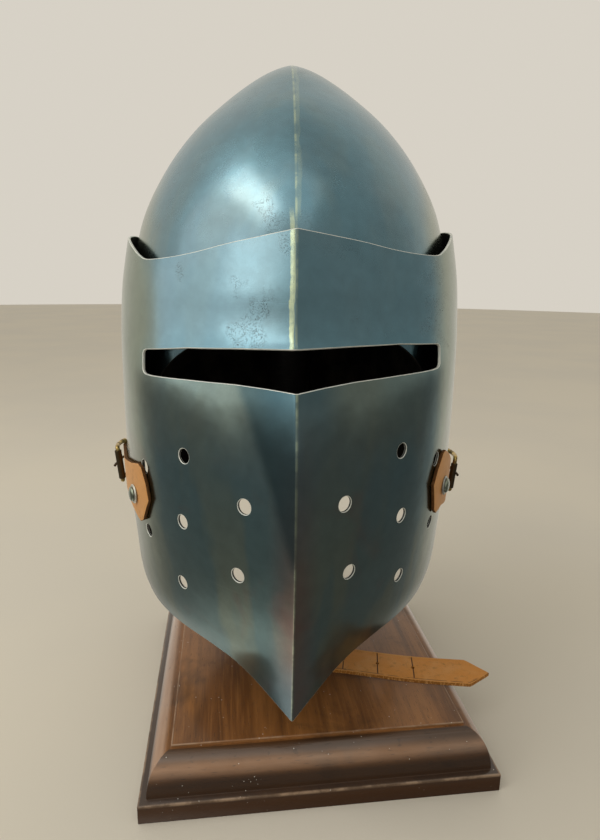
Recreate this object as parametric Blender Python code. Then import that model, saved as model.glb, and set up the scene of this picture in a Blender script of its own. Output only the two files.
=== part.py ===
"""Bascinet with a strapped visor, held over a square wooden plinth by a plain post.

Metres, +Z up. The helmet faces -Y. It is shaped even about the plane X = 0, and then hangs a little
lower towards -X. The origin is on the plinth's underside, below the middle of the skull. Levels are
heights above the plinth's top face, before the helmet is hung.
"""

import math

import bmesh
import bpy
import numpy as np
from mathutils import Matrix, Vector

MM = 0.001
GAP = 0.3 * MM  # kept between pieces that touch
MERGE = 0.01 * MM  # points nearer than this are one point

# Driving dimensions
PLATE = 1.6 * MM
TAB_LEATHER = 2.2 * MM
STRAP_LEATHER = 2.6 * MM
STRAP_WIDTH = 27 * MM
STRAP_POINT = 15 * MM
PLINTH_WIDTH = 220 * MM
PLINTH_HEIGHT = 36 * MM
PLINTH_CENTRE = (12 * MM, -27 * MM)
PLINTH_TURN = math.radians(4.6)
BREATH_DIAMETER = 8.4 * MM
VISOR_WIDEST = 2 * MM  # Y of the visor's widest place
VISOR_REAR = 14 * MM  # Y of its rear edge
VISOR_REAR_TURN = 2 * MM  # how far that edge turns in
POST_Y = 18 * MM
HANG = 0.027  # the helmet hangs lower towards -X, by this for each millimetre

# Facets
FINE = 120  # points on an outline before it is stepped evenly
SPLINE_STEPS = 24  # points between two rows of a table
SKULL_COLUMNS, SKULL_ROWS = 32, 20
VISOR_COLUMNS, VISOR_ROWS = 36, 23
PIN_SIDES, RIVET_SIDES, STRAP_RIVET_SIDES, ROLLER_SIDES, POST_SIDES = 12, 16, 12, 12, 24
DOME_STEPS, BUCKLE_CORNER_STEPS = 5, 4
SHARP_ANGLE = math.radians(35)  # edges bent more than this stay sharp

# Horizontal sections of the skull, from the point down to the rim, in millimetres. Front, back and
# widest are the Y of a section's ends and of its widest place. A crease under 2 sharpens the keel.
SKULL_NAMES = ("level", "half_width", "front", "back", "widest", "crease")
SKULL_SECTIONS = (
    (411, 0, 18, 18, 18, 1.5),
    (408, 10, 4, 31, 18, 1.5),
    (399, 26, -19, 49, 17, 1.5),
    (384, 46, -44, 71, 15, 1.5),
    (364, 67, -72, 91, 12, 1.5),
    (339, 85, -96, 106, 8, 1.5),
    (309, 99, -116, 116, 4, 1.5),
    (274, 105, -126, 122, 0, 1.5),
    (229, 106, -130, 126, 0, 1.5),
    (174, 104, -129, 127, 0, 1.6),
    (124, 99, -125, 123, 0, 1.7),
    (92, 96, -122, 120, 0, 1.8),
    (79, 97, -122, 122, 0, 1.8),
)
# The skull's rim: its level at shares of the way from the keel round to the back.
RIM_NAMES = ("share", "level")
RIM = ((0.0, 108), (0.3, 106), (0.5, 100), (0.7, 88), (0.85, 81), (1.0, 79))

# The face opening: a straight-sided arch, in millimetres.
FACE_HALF_WIDTH = 88 * MM
FACE_SPRING = 190 * MM
FACE_ARCH = 62 * MM
FACE_ARCH_STEPS = 14

# Horizontal sections of the visor, from above the brow to below the chin, in millimetres. Forward
# of the widest place x / half_width + (y / length) ** roundness = 1, which meets in a ridge.
VISOR_NAMES = ("level", "half_width", "ridge", "roundness")
VISOR_SECTIONS = (
    (309, 103.5, -129, 2.9),
    (297, 105.5, -131, 2.9),
    (271, 110, -134, 2.9),
    (244, 112, -137, 2.9),
    (219, 112, -150, 2.8),
    (179, 113, -158, 2.5),
    (139, 113, -160, 2.3),
    (104, 111, -157, 2.2),
    (74, 109, -151, 2.1),
    (52, 103, -146, 2.0),
    (24, 95, -141, 2.0),
)
# Half width, by level, of the flat faces that stand forward beside the ridge below the slit.
KEEL_NAMES = ("level", "half_width")
KEEL = ((110, 0), (222, 34), (228, 34), (236, 0))
KEEL_SLOPE = 0.16  # how far forward they go for each millimetre inwards
KEEL_BLEND, KEEL_START = 3, 8  # their outer bend, and the half width at which they are full
# Levels of the visor's upper and lower edges at shares of the way from the ridge to its rear edge.
EDGE_NAMES = ("share", "level")
VISOR_TOP = (
    (0.0, 297),
    (0.1, 294),
    (0.2, 291),
    (0.3, 287.5),
    (0.4, 285.3),
    (0.5, 284.8),
    (0.55, 287.4),
    (0.6, 291.4),
    (0.65, 295),
    (0.7, 297.6),
    (0.78, 300),
    (0.88, 301.5),
    (0.95, 301),
    (1.0, 297),
)
VISOR_BOTTOM = (
    (0.0, 28),
    (0.05, 35),
    (0.1, 42),
    (0.15, 48.5),
    (0.2, 53.5),
    (0.25, 56.5),
    (0.35, 59.3),
    (0.5, 59.5),
    (0.65, 60),
    (0.8, 62),
    (0.93, 67),
    (1.0, 76),
)
# The eye slit: X, lower level and upper level on one side, in millimetres.
SLIT = (
    (0, 220.2, 239),
    (14, 221.2, 238.8),
    (30, 221.7, 238.5),
    (58, 221.6, 237.5),
    (80, 221, 235.2),
    (84.8, 221.4, 234.6),
    (86, 223.6, 232.6),
)
# The breaths on one side: X and level, in millimetres.
BREATHS = (
    (26, 159.5),
    (30, 118.5),
    (60, 179.5),
    (62.5, 139.5),
    (65, 97),
    (88.5, 164),
    (89, 120),
)
BREATH_SIDES = 12
DRILL_LENGTH = 12 * MM

# The two sides: name, side, middle level of the buckle and length of its roller, in millimetres.
SIDES = (("left", -1, 146, 21), ("right", 1, 132.1, 18.7))

# Outline of a tab's head, forwards from the top of its neck to the bottom of it, before the head is
# turned on its rivet: Y along the visor's side, and level, in millimetres.
TAB = (
    (-68, 162.6),
    (-78, 166.4),
    (-81.8, 165.3),
    (-86.2, 156.2),
    (-88.3, 146.4),
    (-83.8, 137.5),
    (-79.5, 128.8),
    (-75, 125.6),
    (-70.5, 126.4),
    (-66, 128),
)
TAB_LEVEL = 139  # the buckle's level, in millimetres, that leaves the head unturned
TAB_REACH = 60  # from rivet to buckle, in millimetres
TAB_BEND = 8 * MM  # length of one flat of the bent leather
TAB_CLEARANCE = 0.5 * MM
TAB_LEAVES = -38 * MM  # Y where the tab leaves the steel and runs straight back
TAB_SLOPE = 0.26  # how far out it runs for each millimetre back
TAB_RIVET = (-69.6, 142.2)  # Y and level, in millimetres
# Y of the corners of the neck's straight part, in millimetres, and half its width
NECK_TOP_START, NECK_BOTTOM_START, NECK_END = -31, -46, -1.5
NECK_HALF_WIDTH = 10.2
RIVET_RADIUS = 4.6 * MM
RIVET_RISE = 1.7 * MM
WASHER_RADIUS = 6.2 * MM
WASHER_THICKNESS = 0.9 * MM

# Buckle: a rounded frame round two upright bars.
BUCKLE_FRONT = (119.4, -20.5)  # X and Y of the middle of its front bar, in millimetres
BUCKLE_LENGTH = 21.5 * MM  # from bar to bar
BUCKLE_HEIGHT = 24.5 * MM  # between the middles of its arms
BUCKLE_CORNER = 1.8 * MM
BUCKLE_BOW = 2.0 * MM  # how far its arms bow out
BUCKLE_WIRE = 1.5 * MM  # radius
BUCKLE_TURN_IN = 0.02  # how far its rear bar lies inwards, for each millimetre back
BUCKLE_LEAN = math.radians(6)  # its top leans outwards
ROLLER_RADIUS = 2.3 * MM
TONGUE_RADIUS = 1.0 * MM
# The tongue's middle line: back from the front bar, as a share of the way to the rear bar, and out, as
# a share of its lift over the roller. It ends ahead of the front bar.
TONGUE = ((1, 0.8), (0.6, 0.95), (0, 1))
TONGUE_END = (0.6, 0.8)  # ahead and out, as shares of that lift

# Route of the strap's middle line from its upper end to its tip: X, Y and level, in millimetres.
STRAP_ROUTE = (
    (-92.6, 2, 130),
    (-91.2, 2, 104),
    (-87, 2, 74),
    (-66, 0, 42),
    (-48, -12, 18),
    (-30, -26, 8),
    (0, -44.5, 5.5),
    (42, -52.5, 4.5),
    (90, -59.5, 1.6),
    (142, -66.5, 1.6),
)
STRAP_STEPS = 40
STRAP_RIVET_DROP = 9  # from the strap's upper end to its rivet, in millimetres

# Pins between the skull's sides and the visor's, with their middle in millimetres.
PIN_Y, PIN_LEVEL = -2, 258
PIN_RADIUS = 3 * MM

# The post's profile: radius and level, in millimetres.
POST_RADIUS = 17
POST = (
    (0, 0.3),
    (30, 0.3),
    (30, 8),
    (POST_RADIUS, 14),
    (POST_RADIUS, 321),
    (36, 345),
    (36, 371),
    (22, 391),
    (8, 403),
    (0, 405),
)

# The plinth's edge: a lip, an ovolo and an upright foot, as distances out and down from the top.
PLINTH_LIP = (1.2 * MM, 1.5 * MM)
PLINTH_OVOLO = (14 * MM, 24 * MM)
PLINTH_FOOT = 18.6 * MM
OVOLO_STEPS = 6

# Cutters run between these Y
CUT_FRONT, FACE_CUT_BACK, SLIT_CUT_BACK = -0.2, -0.02, -0.06


def lofted(sections, steps=SPLINE_STEPS):
    """The rows of a table, in its own units, with a smooth curve's points between them."""
    rows = np.array(sections, float)
    ends = np.vstack([2 * rows[0] - rows[1], rows, 2 * rows[-1] - rows[-2]])
    points = []
    for before, first, last, after in zip(ends, ends[1:], ends[2:], ends[3:]):
        for t in np.linspace(0, 1, steps, endpoint=False):
            points.append(
                0.5
                * (
                    2 * first
                    + (last - before) * t
                    + (2 * before - 5 * first + 4 * last - after) * t**2
                    + (3 * first - before - 3 * last + after) * t**3
                )
            )
    return np.array(points + [rows[-1]])


def read(table, names, key, value):
    """A table's other columns where its column called key has this value."""
    place = names.index(key)
    order = np.argsort(table[:, place])
    return {
        name: float(np.interp(value, table[order, place], table[order, column]))
        for column, name in enumerate(names)
        if column != place
    }


SKULL_LOFT = lofted(SKULL_SECTIONS)
RIM_LOFT = lofted(RIM)
VISOR_LOFT = lofted(VISOR_SECTIONS)
TOP_LOFT = lofted(VISOR_TOP)
BOTTOM_LOFT = lofted(VISOR_BOTTOM)


def evenly(outline, shares):
    """Points at shares of the length of an outline, an N x 2 array."""
    steps = np.hypot(*np.diff(outline, axis=0).T)
    run = np.concatenate([[0], np.cumsum(steps)])
    wanted = np.multiply(shares, run[-1])
    return np.stack([np.interp(wanted, run, outline[:, k]) for k in (0, 1)], -1)


def skull_outline(level):
    """X and Y, in millimetres, along the +X half of the skull's outside, from keel to back."""
    row = read(SKULL_LOFT, SKULL_NAMES, "level", level)
    turn = np.linspace(0, math.pi / 2, FINE)
    front_x = row["half_width"] * np.sin(turn) ** (2 / row["crease"])
    front_y = row["widest"] - (row["widest"] - row["front"]) * np.cos(turn)
    back_x = row["half_width"] * np.cos(turn)
    back_y = row["widest"] + (row["back"] - row["widest"]) * np.sin(turn)
    front = np.stack([front_x, front_y], -1)
    back = np.stack([back_x, back_y], -1)
    return np.concatenate([front, back[1:]])


def visor_outline(level):
    """X and Y, in millimetres, along the +X half of the visor's outside, from ridge to rear edge."""
    row = read(VISOR_LOFT, VISOR_NAMES, "level", level)
    widest, rear = VISOR_WIDEST / MM, VISOR_REAR / MM
    turn = np.linspace(0, math.pi / 2, FINE)
    front_x = row["half_width"] * np.sin(turn) ** 2
    front_y = widest - (widest - row["ridge"]) * np.cos(turn) ** (2 / row["roundness"])
    (keel,) = read(np.array(KEEL, float), KEEL_NAMES, "level", level).values()
    inwards = keel - front_x
    bend = (inwards + np.sqrt(inwards**2 + KEEL_BLEND**2)) / 2
    front_y = front_y - KEEL_SLOPE * min(1, keel / KEEL_START) * bend
    back_y = np.linspace(widest, rear, FINE // 4)
    back_x = row["half_width"] - VISOR_REAR_TURN / MM * ((back_y - widest) / (rear - widest)) ** 2
    front = np.stack([front_x, front_y], -1)
    back = np.stack([back_x, back_y], -1)
    return np.concatenate([front, back[1:]])


HUNG = Matrix(((1, 0, 0, 0), (0, 1, 0, 0), (HANG, 0, 1, 0), (0, 0, 0, 1)))


def place(x, y, level):
    """A point in metres from X, Y and a level in millimetres."""
    return Vector((x * MM, y * MM, PLINTH_HEIGHT + level * MM))


def skull_point(share, depth):
    """The skull's outside at a share of the way round from the keel, minus on -X, and of the way
    down from the point to the rim."""
    row = depth * (len(SKULL_LOFT) - 1)
    level = float(np.interp(row, np.arange(len(SKULL_LOFT)), SKULL_LOFT[:, 0]))
    rim = read(RIM_LOFT, RIM_NAMES, "share", abs(share))["level"]
    top, lowest = SKULL_SECTIONS[0][0], SKULL_SECTIONS[-1][0]
    level = level + (rim - lowest) * ((top - level) / (top - lowest)) ** 2
    (x, y), = evenly(skull_outline(level), [abs(share)])
    return place(math.copysign(x, share), y, level)


def visor_point(share, rise):
    """The visor's outside at a share of the way from the ridge to a rear edge, minus on -X, and of
    the way up from its lower edge."""
    lower = read(BOTTOM_LOFT, EDGE_NAMES, "share", abs(share))["level"]
    upper = read(TOP_LOFT, EDGE_NAMES, "share", abs(share))["level"]
    level = lower + (upper - lower) * rise
    (x, y), = evenly(visor_outline(level), [abs(share)])
    return place(math.copysign(x, share), y, level)


def visor_at(level, x=None, y=None):
    """The visor's +X outside where it has this X or Y, and the outward normal there, in metres."""
    outline = visor_outline(level)
    known, wanted = (0, x) if x is not None else (1, y)
    share = np.interp(wanted, outline[:, known], np.linspace(0, 1, len(outline)))
    spots = []
    for near in (share - 0.01, share + 0.01):
        row = near * (len(outline) - 1)
        spots.append([np.interp(row, np.arange(len(outline)), outline[:, k]) for k in (0, 1)])
    along = Vector((spots[1][0] - spots[0][0], spots[1][1] - spots[0][1], 0)).normalized()
    row = share * (len(outline) - 1)
    here = [np.interp(row, np.arange(len(outline)), outline[:, k]) for k in (0, 1)]
    return place(here[0], here[1], level), Vector((along.y, -along.x, 0))


def painted(name, colour, roughness, metallic):
    """A Principled material."""
    material = bpy.data.materials.new(name)
    material.use_nodes = True
    shader = material.node_tree.nodes["Principled BSDF"]
    shader.inputs["Base Color"].default_value = (*colour, 1)
    shader.inputs["Roughness"].default_value = roughness
    shader.inputs["Metallic"].default_value = metallic
    material.diffuse_color = (*colour, 1)
    return material


def added(name, mesh_maker, material, smooth=True):
    """A new object from a bmesh."""
    mesh = bpy.data.meshes.new(name)
    mesh_maker.to_mesh(mesh)
    mesh_maker.free()
    if smooth:
        mesh.shade_smooth()
        mesh.set_sharp_from_angle(angle=SHARP_ANGLE)
    body = bpy.data.objects.new(name, mesh)
    bpy.context.scene.collection.objects.link(body)
    if material:
        mesh.materials.append(material)
    return body


def facing_out(mesh_maker):
    bmesh.ops.recalc_face_normals(mesh_maker, faces=mesh_maker.faces)
    if mesh_maker.calc_volume(signed=True) < 0:
        bmesh.ops.reverse_faces(mesh_maker, faces=mesh_maker.faces)


def cut(body, cutter):
    """Takes a helper away from a piece with an exact Boolean."""
    cutter.hide_render = True
    cutter.display_type = "WIRE"
    modifier = body.modifiers.new(cutter.name, "BOOLEAN")
    modifier.operation = "DIFFERENCE"
    modifier.object = cutter


def walled(body, thickness):
    """Gives a sheet its thickness on the inner side."""
    modifier = body.modifiers.new("wall", "SOLIDIFY")
    modifier.thickness = thickness
    modifier.offset = -1
    modifier.use_even_offset = True


def sheet(columns, rows, point):
    """A bmesh grid whose point at u from -1 to 1 and v from 0 to 1 goes where point(u, v) says."""
    mesh_maker = bmesh.new()
    bmesh.ops.create_grid(mesh_maker, x_segments=columns, y_segments=rows, size=1)
    for vertex in mesh_maker.verts:
        vertex.co = point(vertex.co.x, (vertex.co.y + 1) / 2)
    return mesh_maker


def prism(name, outline, start, end):
    """A cutter for the helmet along Y from an outline of X and Z."""
    mesh_maker = bmesh.new()
    verts = [mesh_maker.verts.new((x, start, z)) for x, z in outline]
    face = mesh_maker.faces.new(verts)
    moved = bmesh.ops.extrude_face_region(mesh_maker, geom=[face])["geom"]
    tops = [item for item in moved if isinstance(item, bmesh.types.BMVert)]
    bmesh.ops.translate(mesh_maker, vec=(0, end - start, 0), verts=tops)
    mesh_maker.transform(HUNG)
    facing_out(mesh_maker)
    return added(name, mesh_maker, None, smooth=False)


def turned(profile, steps, frame):
    """A bmesh turned round Z from a profile of radius and height that starts and ends on the axis,
    placed by a matrix."""
    mesh_maker = bmesh.new()
    verts = [mesh_maker.verts.new((radius, 0, height)) for radius, height in profile]
    edges = [mesh_maker.edges.new(pair) for pair in zip(verts, verts[1:])]
    bmesh.ops.spin(
        mesh_maker,
        geom=verts + edges,
        cent=(0, 0, 0),
        axis=(0, 0, 1),
        angle=math.tau,
        steps=steps,
        use_merge=True,
    )
    bmesh.ops.remove_doubles(mesh_maker, verts=mesh_maker.verts, dist=MERGE)
    mesh_maker.transform(frame)
    facing_out(mesh_maker)
    return mesh_maker


def frame_on(origin, up):
    """The matrix that puts Z along a direction at a point."""
    return Matrix.Translation(origin) @ up.to_track_quat("Z", "Y").to_matrix().to_4x4()


def mirrored(mesh_maker, side):
    """Turns a +X piece of the helmet into the -X one where side is -1, and hangs it."""
    if side < 0:
        mesh_maker.transform(Matrix.Scale(-1, 4, (1, 0, 0)))
        bmesh.ops.reverse_faces(mesh_maker, faces=mesh_maker.faces)
    mesh_maker.transform(HUNG)
    return mesh_maker


def make_skull(steel):
    mesh_maker = sheet(SKULL_COLUMNS, SKULL_ROWS, lambda u, v: skull_point(u, 1 - v))
    bmesh.ops.remove_doubles(mesh_maker, verts=mesh_maker.verts, dist=MERGE)
    mesh_maker.transform(HUNG)
    facing_out(mesh_maker)
    skull = added("skull", mesh_maker, steel)
    walled(skull, PLATE)
    arch = [(FACE_HALF_WIDTH, PLINTH_HEIGHT), (-FACE_HALF_WIDTH, PLINTH_HEIGHT)]
    for turn in np.linspace(math.pi, 0, FACE_ARCH_STEPS):
        rise = FACE_SPRING + FACE_ARCH * math.sin(turn)
        arch.append((FACE_HALF_WIDTH * math.cos(turn), PLINTH_HEIGHT + rise))
    cut(skull, prism("face_cutter", arch, CUT_FRONT, FACE_CUT_BACK))


def make_visor(steel):
    mesh_maker = sheet(VISOR_COLUMNS, VISOR_ROWS, visor_point)
    mesh_maker.transform(HUNG)
    visor = added("visor", mesh_maker, steel)
    walled(visor, PLATE)
    half = [(x * MM, low * MM, high * MM) for x, low, high in SLIT]
    lower = [(x, PLINTH_HEIGHT + low) for x, low, high in half]
    upper = [(x, PLINTH_HEIGHT + high) for x, low, high in reversed(half)]
    one_side = lower + upper
    other_side = [(-x, z) for x, z in reversed(one_side) if x > 0]
    cut(visor, prism("slit_cutter", one_side + other_side, CUT_FRONT, SLIT_CUT_BACK))
    drills = bmesh.new()
    for side in (-1, 1):
        for x, level in BREATHS:
            spot, out = visor_at(level, x=x)
            bmesh.ops.create_cone(
                drills,
                cap_ends=True,
                segments=BREATH_SIDES,
                radius1=BREATH_DIAMETER / 2,
                radius2=BREATH_DIAMETER / 2,
                depth=DRILL_LENGTH,
                matrix=Matrix.Scale(side, 4, (1, 0, 0)) @ frame_on(spot, out),
            )
    drills.transform(HUNG)
    facing_out(drills)
    cut(visor, added("breath_cutter", drills, None))


def make_pin(name, side, steel):
    """A plain pin between the skull's side and the visor's."""
    outline = skull_outline(PIN_LEVEL)
    skull_x = np.interp(PIN_Y, outline[:, 1], outline[:, 0])
    visor_spot, _ = visor_at(PIN_LEVEL, y=PIN_Y)
    start = skull_x * MM + 2 * GAP
    end = visor_spot.x - PLATE - 2 * GAP
    profile = ((0, start), (PIN_RADIUS, start), (PIN_RADIUS, end), (0, end))
    spot = (0, visor_spot.y, visor_spot.z)
    along_x = Matrix.Translation(spot) @ Matrix.Rotation(math.pi / 2, 4, "Y")
    added(name, mirrored(turned(profile, PIN_SIDES, along_x), side), steel)


def tab_spot(y, level):
    """Where the tab's inner face lies, and the outward direction, at this Y and level."""
    leaves = TAB_LEAVES / MM
    spot, out = visor_at(level, y=min(y, leaves))
    if y > leaves:
        spot = spot + Vector((TAB_SLOPE, 1, 0)) * (y - leaves) * MM
        out = Vector((1, -TAB_SLOPE, 0)).normalized()
    return spot + out * TAB_CLEARANCE, out


def tab_head(buckle_level):
    """A tab head's outline, turned on its rivet towards the buckle."""
    rivet_y, rivet_level = TAB_RIVET
    turn = (buckle_level - TAB_LEVEL) / TAB_REACH
    outline = []
    for y, level in TAB:
        ahead, above = y - rivet_y, level - rivet_level
        outline.append((rivet_y + ahead - above * turn, rivet_level + above + ahead * turn))
    return outline


def make_tab(name, side, buckle_level, leather):
    """Leather bent round the visor's side, with a neck that runs back to the buckle."""
    outline = tab_head(buckle_level)
    low, high = buckle_level - NECK_HALF_WIDTH, buckle_level + NECK_HALF_WIDTH
    outline += [(NECK_BOTTOM_START, low), (NECK_END, low), (NECK_END, high), (NECK_TOP_START, high)]
    mesh_maker = bmesh.new()
    verts = [mesh_maker.verts.new((y * MM, level * MM, 0)) for y, level in outline]
    face = mesh_maker.faces.new(verts)
    moved = bmesh.ops.extrude_face_region(mesh_maker, geom=[face])["geom"]
    tops = [item for item in moved if isinstance(item, bmesh.types.BMVert)]
    bmesh.ops.translate(mesh_maker, vec=(0, 0, TAB_LEATHER), verts=tops)
    for axis in (0, 1):
        reach = [point[axis] * MM for point in outline]
        normal = [float(axis == 0), float(axis == 1), 0]
        for step in range(1, int((max(reach) - min(reach)) / TAB_BEND) + 1):
            bmesh.ops.bisect_plane(
                mesh_maker,
                geom=mesh_maker.verts[:] + mesh_maker.edges[:] + mesh_maker.faces[:],
                dist=0.001 * MM,
                plane_co=[part * (min(reach) + step * TAB_BEND) for part in normal],
                plane_no=normal,
            )
    for vertex in mesh_maker.verts:
        spot, out = tab_spot(vertex.co.x / MM, vertex.co.y / MM)
        vertex.co = spot + out * vertex.co.z
    facing_out(mesh_maker)
    added(name, mirrored(mesh_maker, side), leather)


def dome():
    """The profile of a rivet's head."""
    profile = [(0, 0)]
    for turn in np.linspace(0, math.pi / 2, DOME_STEPS):
        profile.append((RIVET_RADIUS * math.cos(turn), RIVET_RISE * math.sin(turn)))
    return profile


def make_rivet(side_name, side, steel, bright):
    """A domed rivet head on a thin round washer, on the tab."""
    spot, out = tab_spot(*TAB_RIVET)
    spot = spot + out * (TAB_LEATHER + 2 * GAP)
    thick = WASHER_THICKNESS
    washer = ((0, 0), (WASHER_RADIUS, 0), (WASHER_RADIUS - thick / 2, thick), (0, thick))
    mesh_maker = turned(washer, RIVET_SIDES, frame_on(spot, out))
    added(side_name + "_tab_washer", mirrored(mesh_maker, side), bright)
    mesh_maker = turned(dome(), RIVET_SIDES, frame_on(spot + out * (thick + GAP), out))
    added(side_name + "_tab_rivet", mirrored(mesh_maker, side), steel)


def buckle_frame(buckle_level):
    """The matrix of the +X buckle: X back from its front bar, Y out from the visor and Z up."""
    x, y = BUCKLE_FRONT
    back = Vector((-BUCKLE_TURN_IN, 1, 0)).normalized()
    out = Vector((back.y, -back.x, 0))
    turn = Matrix((back, out, (0, 0, 1))).transposed().to_4x4()
    lean = Matrix.Rotation(-BUCKLE_LEAN, 4, "X")
    return Matrix.Translation(place(x, y, buckle_level)) @ turn @ lean


def wire(name, points, radius, matrix, material, closed=False):
    """A round bar along points in the space of a matrix."""
    curve = bpy.data.curves.new(name, "CURVE")
    curve.dimensions = "3D"
    curve.bevel_depth = radius
    curve.bevel_resolution = 1
    curve.use_fill_caps = True
    spline = curve.splines.new("POLY")
    spline.points.add(len(points) - 1)
    spline.use_cyclic_u = closed
    for slot, point in zip(spline.points, points):
        slot.co = (*(matrix @ Vector(point)), 1)
    curve.materials.append(material)
    body = bpy.data.objects.new(name, curve)
    bpy.context.scene.collection.objects.link(body)


def make_buckle(side_name, side, buckle_level, roller, brass, dark):
    """A bowed frame, a roller at the foot of its front bar and a tongue over it."""
    matrix = buckle_frame(buckle_level)
    mirror = HUNG @ Matrix.Scale(side, 4, (1, 0, 0))
    half, corner = BUCKLE_HEIGHT / 2, BUCKLE_CORNER
    quarter = math.pi / 2
    corners = (
        (corner, half - corner, quarter),
        (corner, corner - half, 2 * quarter),
        (BUCKLE_LENGTH - corner, corner - half, 3 * quarter),
        (BUCKLE_LENGTH - corner, half - corner, 4 * quarter),
    )
    ring = []
    for back, up, start in corners:
        for turn in np.linspace(start, start + quarter, BUCKLE_CORNER_STEPS):
            along = back + corner * math.cos(turn)
            lift = BUCKLE_BOW * math.sin(math.pi * along / BUCKLE_LENGTH)
            ring.append((along, lift, up + corner * math.sin(turn)))
    frame_name = side_name + "_buckle_frame"
    wire(frame_name, ring, BUCKLE_WIRE, mirror @ matrix, brass, closed=True)
    inner, foot = BUCKLE_WIRE + GAP, corner - half
    head = foot + roller * MM
    section = ((inner, foot), (ROLLER_RADIUS, foot), (ROLLER_RADIUS, head), (inner, head))
    mesh_maker = turned(section + section[:1], ROLLER_SIDES, matrix)
    added(side_name + "_buckle_roller", mirrored(mesh_maker, side), dark)
    over = ROLLER_RADIUS + TONGUE_RADIUS + GAP
    beside_rear_bar = BUCKLE_LENGTH - TONGUE_RADIUS
    route = [(beside_rear_bar * back, over * lift, 0) for back, lift in TONGUE]
    route.append((-over * TONGUE_END[0], over * TONGUE_END[1], 0))
    wire(side_name + "_buckle_tongue", route, TONGUE_RADIUS, mirror @ matrix, dark)


def make_strap(leather, steel):
    """A flat strap from inside the skull's -X side, across the plinth, to its pointed free end."""
    route = lofted(STRAP_ROUTE)
    steps = np.linalg.norm(np.diff(route, axis=0), axis=1)
    run = np.concatenate([[0], np.cumsum(steps)]) * MM
    length = run[-1]

    def point(u, v):
        along = v * length
        here = Vector([np.interp(along, run, route[:, k]) for k in range(3)])
        ahead = Vector([np.interp(min(along + MM, length), run, route[:, k]) for k in range(3)])
        behind = Vector([np.interp(max(along - MM, 0), run, route[:, k]) for k in range(3)])
        across = Vector((0, 1, 0)) - (ahead - behind).normalized() * (ahead - behind).normalized().y
        reach = min(1, (length - along) / STRAP_POINT) * STRAP_WIDTH / 2
        return place(*here) + across.normalized() * reach * u

    mesh_maker = sheet(2, STRAP_STEPS, point)
    bmesh.ops.remove_doubles(mesh_maker, verts=mesh_maker.verts, dist=MERGE)
    strap = added("strap", mesh_maker, leather)
    walled(strap, STRAP_LEATHER)
    strap.modifiers["wall"].offset = 0
    _, y, level = STRAP_ROUTE[0]
    outline = skull_outline(level - STRAP_RIVET_DROP)
    skull_x = np.interp(y, outline[:, 1], outline[:, 0])
    spot = place(skull_x, y, level - STRAP_RIVET_DROP) + Vector((3 * GAP, 0, 0))
    mesh_maker = turned(dome(), STRAP_RIVET_SIDES, frame_on(spot, Vector((1, 0, 0))))
    added("strap_rivet", mirrored(mesh_maker, -1), steel)


def make_post(paint):
    """A turned post with a wide head under the crown."""
    profile = [(radius * MM, level * MM) for radius, level in POST]
    spot = Matrix.Translation((0, POST_Y, PLINTH_HEIGHT))
    added("post", turned(profile, POST_SIDES, spot), paint)


def make_plinth(wood):
    """A square board with a lip, an ovolo, a fillet and an upright foot round its edge."""
    (lip_out, lip_down), (ovolo_out, ovolo_down) = PLINTH_LIP, PLINTH_OVOLO
    profile = [(0, 0), (0, lip_down), (lip_out, lip_down)]
    for turn in np.linspace(0, math.pi / 2, OVOLO_STEPS + 1)[1:]:
        out = lip_out + (ovolo_out - lip_out) * math.sin(turn)
        profile.append((out, lip_down + (ovolo_down - lip_down) * (1 - math.cos(turn))))
    profile += [(PLINTH_FOOT, ovolo_down), (PLINTH_FOOT, PLINTH_HEIGHT)]
    base = PLINTH_WIDTH / 2 - PLINTH_FOOT
    mesh_maker = bmesh.new()
    bmesh.ops.create_grid(mesh_maker, x_segments=1, y_segments=1, size=base)
    rim = list(mesh_maker.edges)
    for (last_out, last_depth), (out, depth) in zip(profile, profile[1:]):
        moved = bmesh.ops.extrude_edge_only(mesh_maker, edges=rim)["geom"]
        rim = [item for item in moved if isinstance(item, bmesh.types.BMEdge)]
        for vertex in {vert for edge in rim for vert in edge.verts}:
            vertex.co.xy *= (base + out) / (base + last_out)
            vertex.co.z -= depth - last_depth
    bmesh.ops.contextual_create(mesh_maker, geom=rim)
    facing_out(mesh_maker)
    turn = Matrix.Rotation(PLINTH_TURN, 4, "Z")
    mesh_maker.transform(Matrix.Translation((*PLINTH_CENTRE, PLINTH_HEIGHT)) @ turn)
    added("plinth", mesh_maker, wood)


def main():
    for old in list(bpy.data.objects):
        bpy.data.objects.remove(old)
    steel = painted("blued_steel", (0.19, 0.24, 0.25), 0.38, 1.0)
    bright = painted("bright_steel", (0.55, 0.55, 0.5), 0.35, 1.0)
    brass = painted("old_brass", (0.42, 0.33, 0.14), 0.4, 1.0)
    dark = painted("dark_brass", (0.12, 0.09, 0.05), 0.5, 1.0)
    leather = painted("tan_leather", (0.55, 0.3, 0.12), 0.65, 0.0)
    walnut = painted("walnut", (0.16, 0.08, 0.045), 0.45, 0.0)
    black = painted("black_paint", (0.012, 0.012, 0.012), 0.6, 0.0)
    make_skull(steel)
    make_visor(steel)
    for side_name, side, buckle_level, roller in SIDES:
        make_pin(side_name + "_visor_pin", side, steel)
        make_tab(side_name + "_tab", side, buckle_level, leather)
        make_rivet(side_name, side, steel, bright)
        make_buckle(side_name, side, buckle_level, roller, brass, dark)
    make_strap(leather, steel)
    make_post(black)
    make_plinth(walnut)


if __name__ == "__main__":
    main()
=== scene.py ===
"""Bascinet with a strapped visor on a walnut plinth: its pieces, finishes and stage.

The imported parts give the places. Lengths in the tables are millimetres, and levels are heights above
the plinth's top face before the helmet is hung, as the parts have them.
"""

import math

import bmesh
import bpy
import numpy as np
from bpy.props import FloatProperty, FloatVectorProperty, PointerProperty
from mathutils import Matrix, Vector


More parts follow.
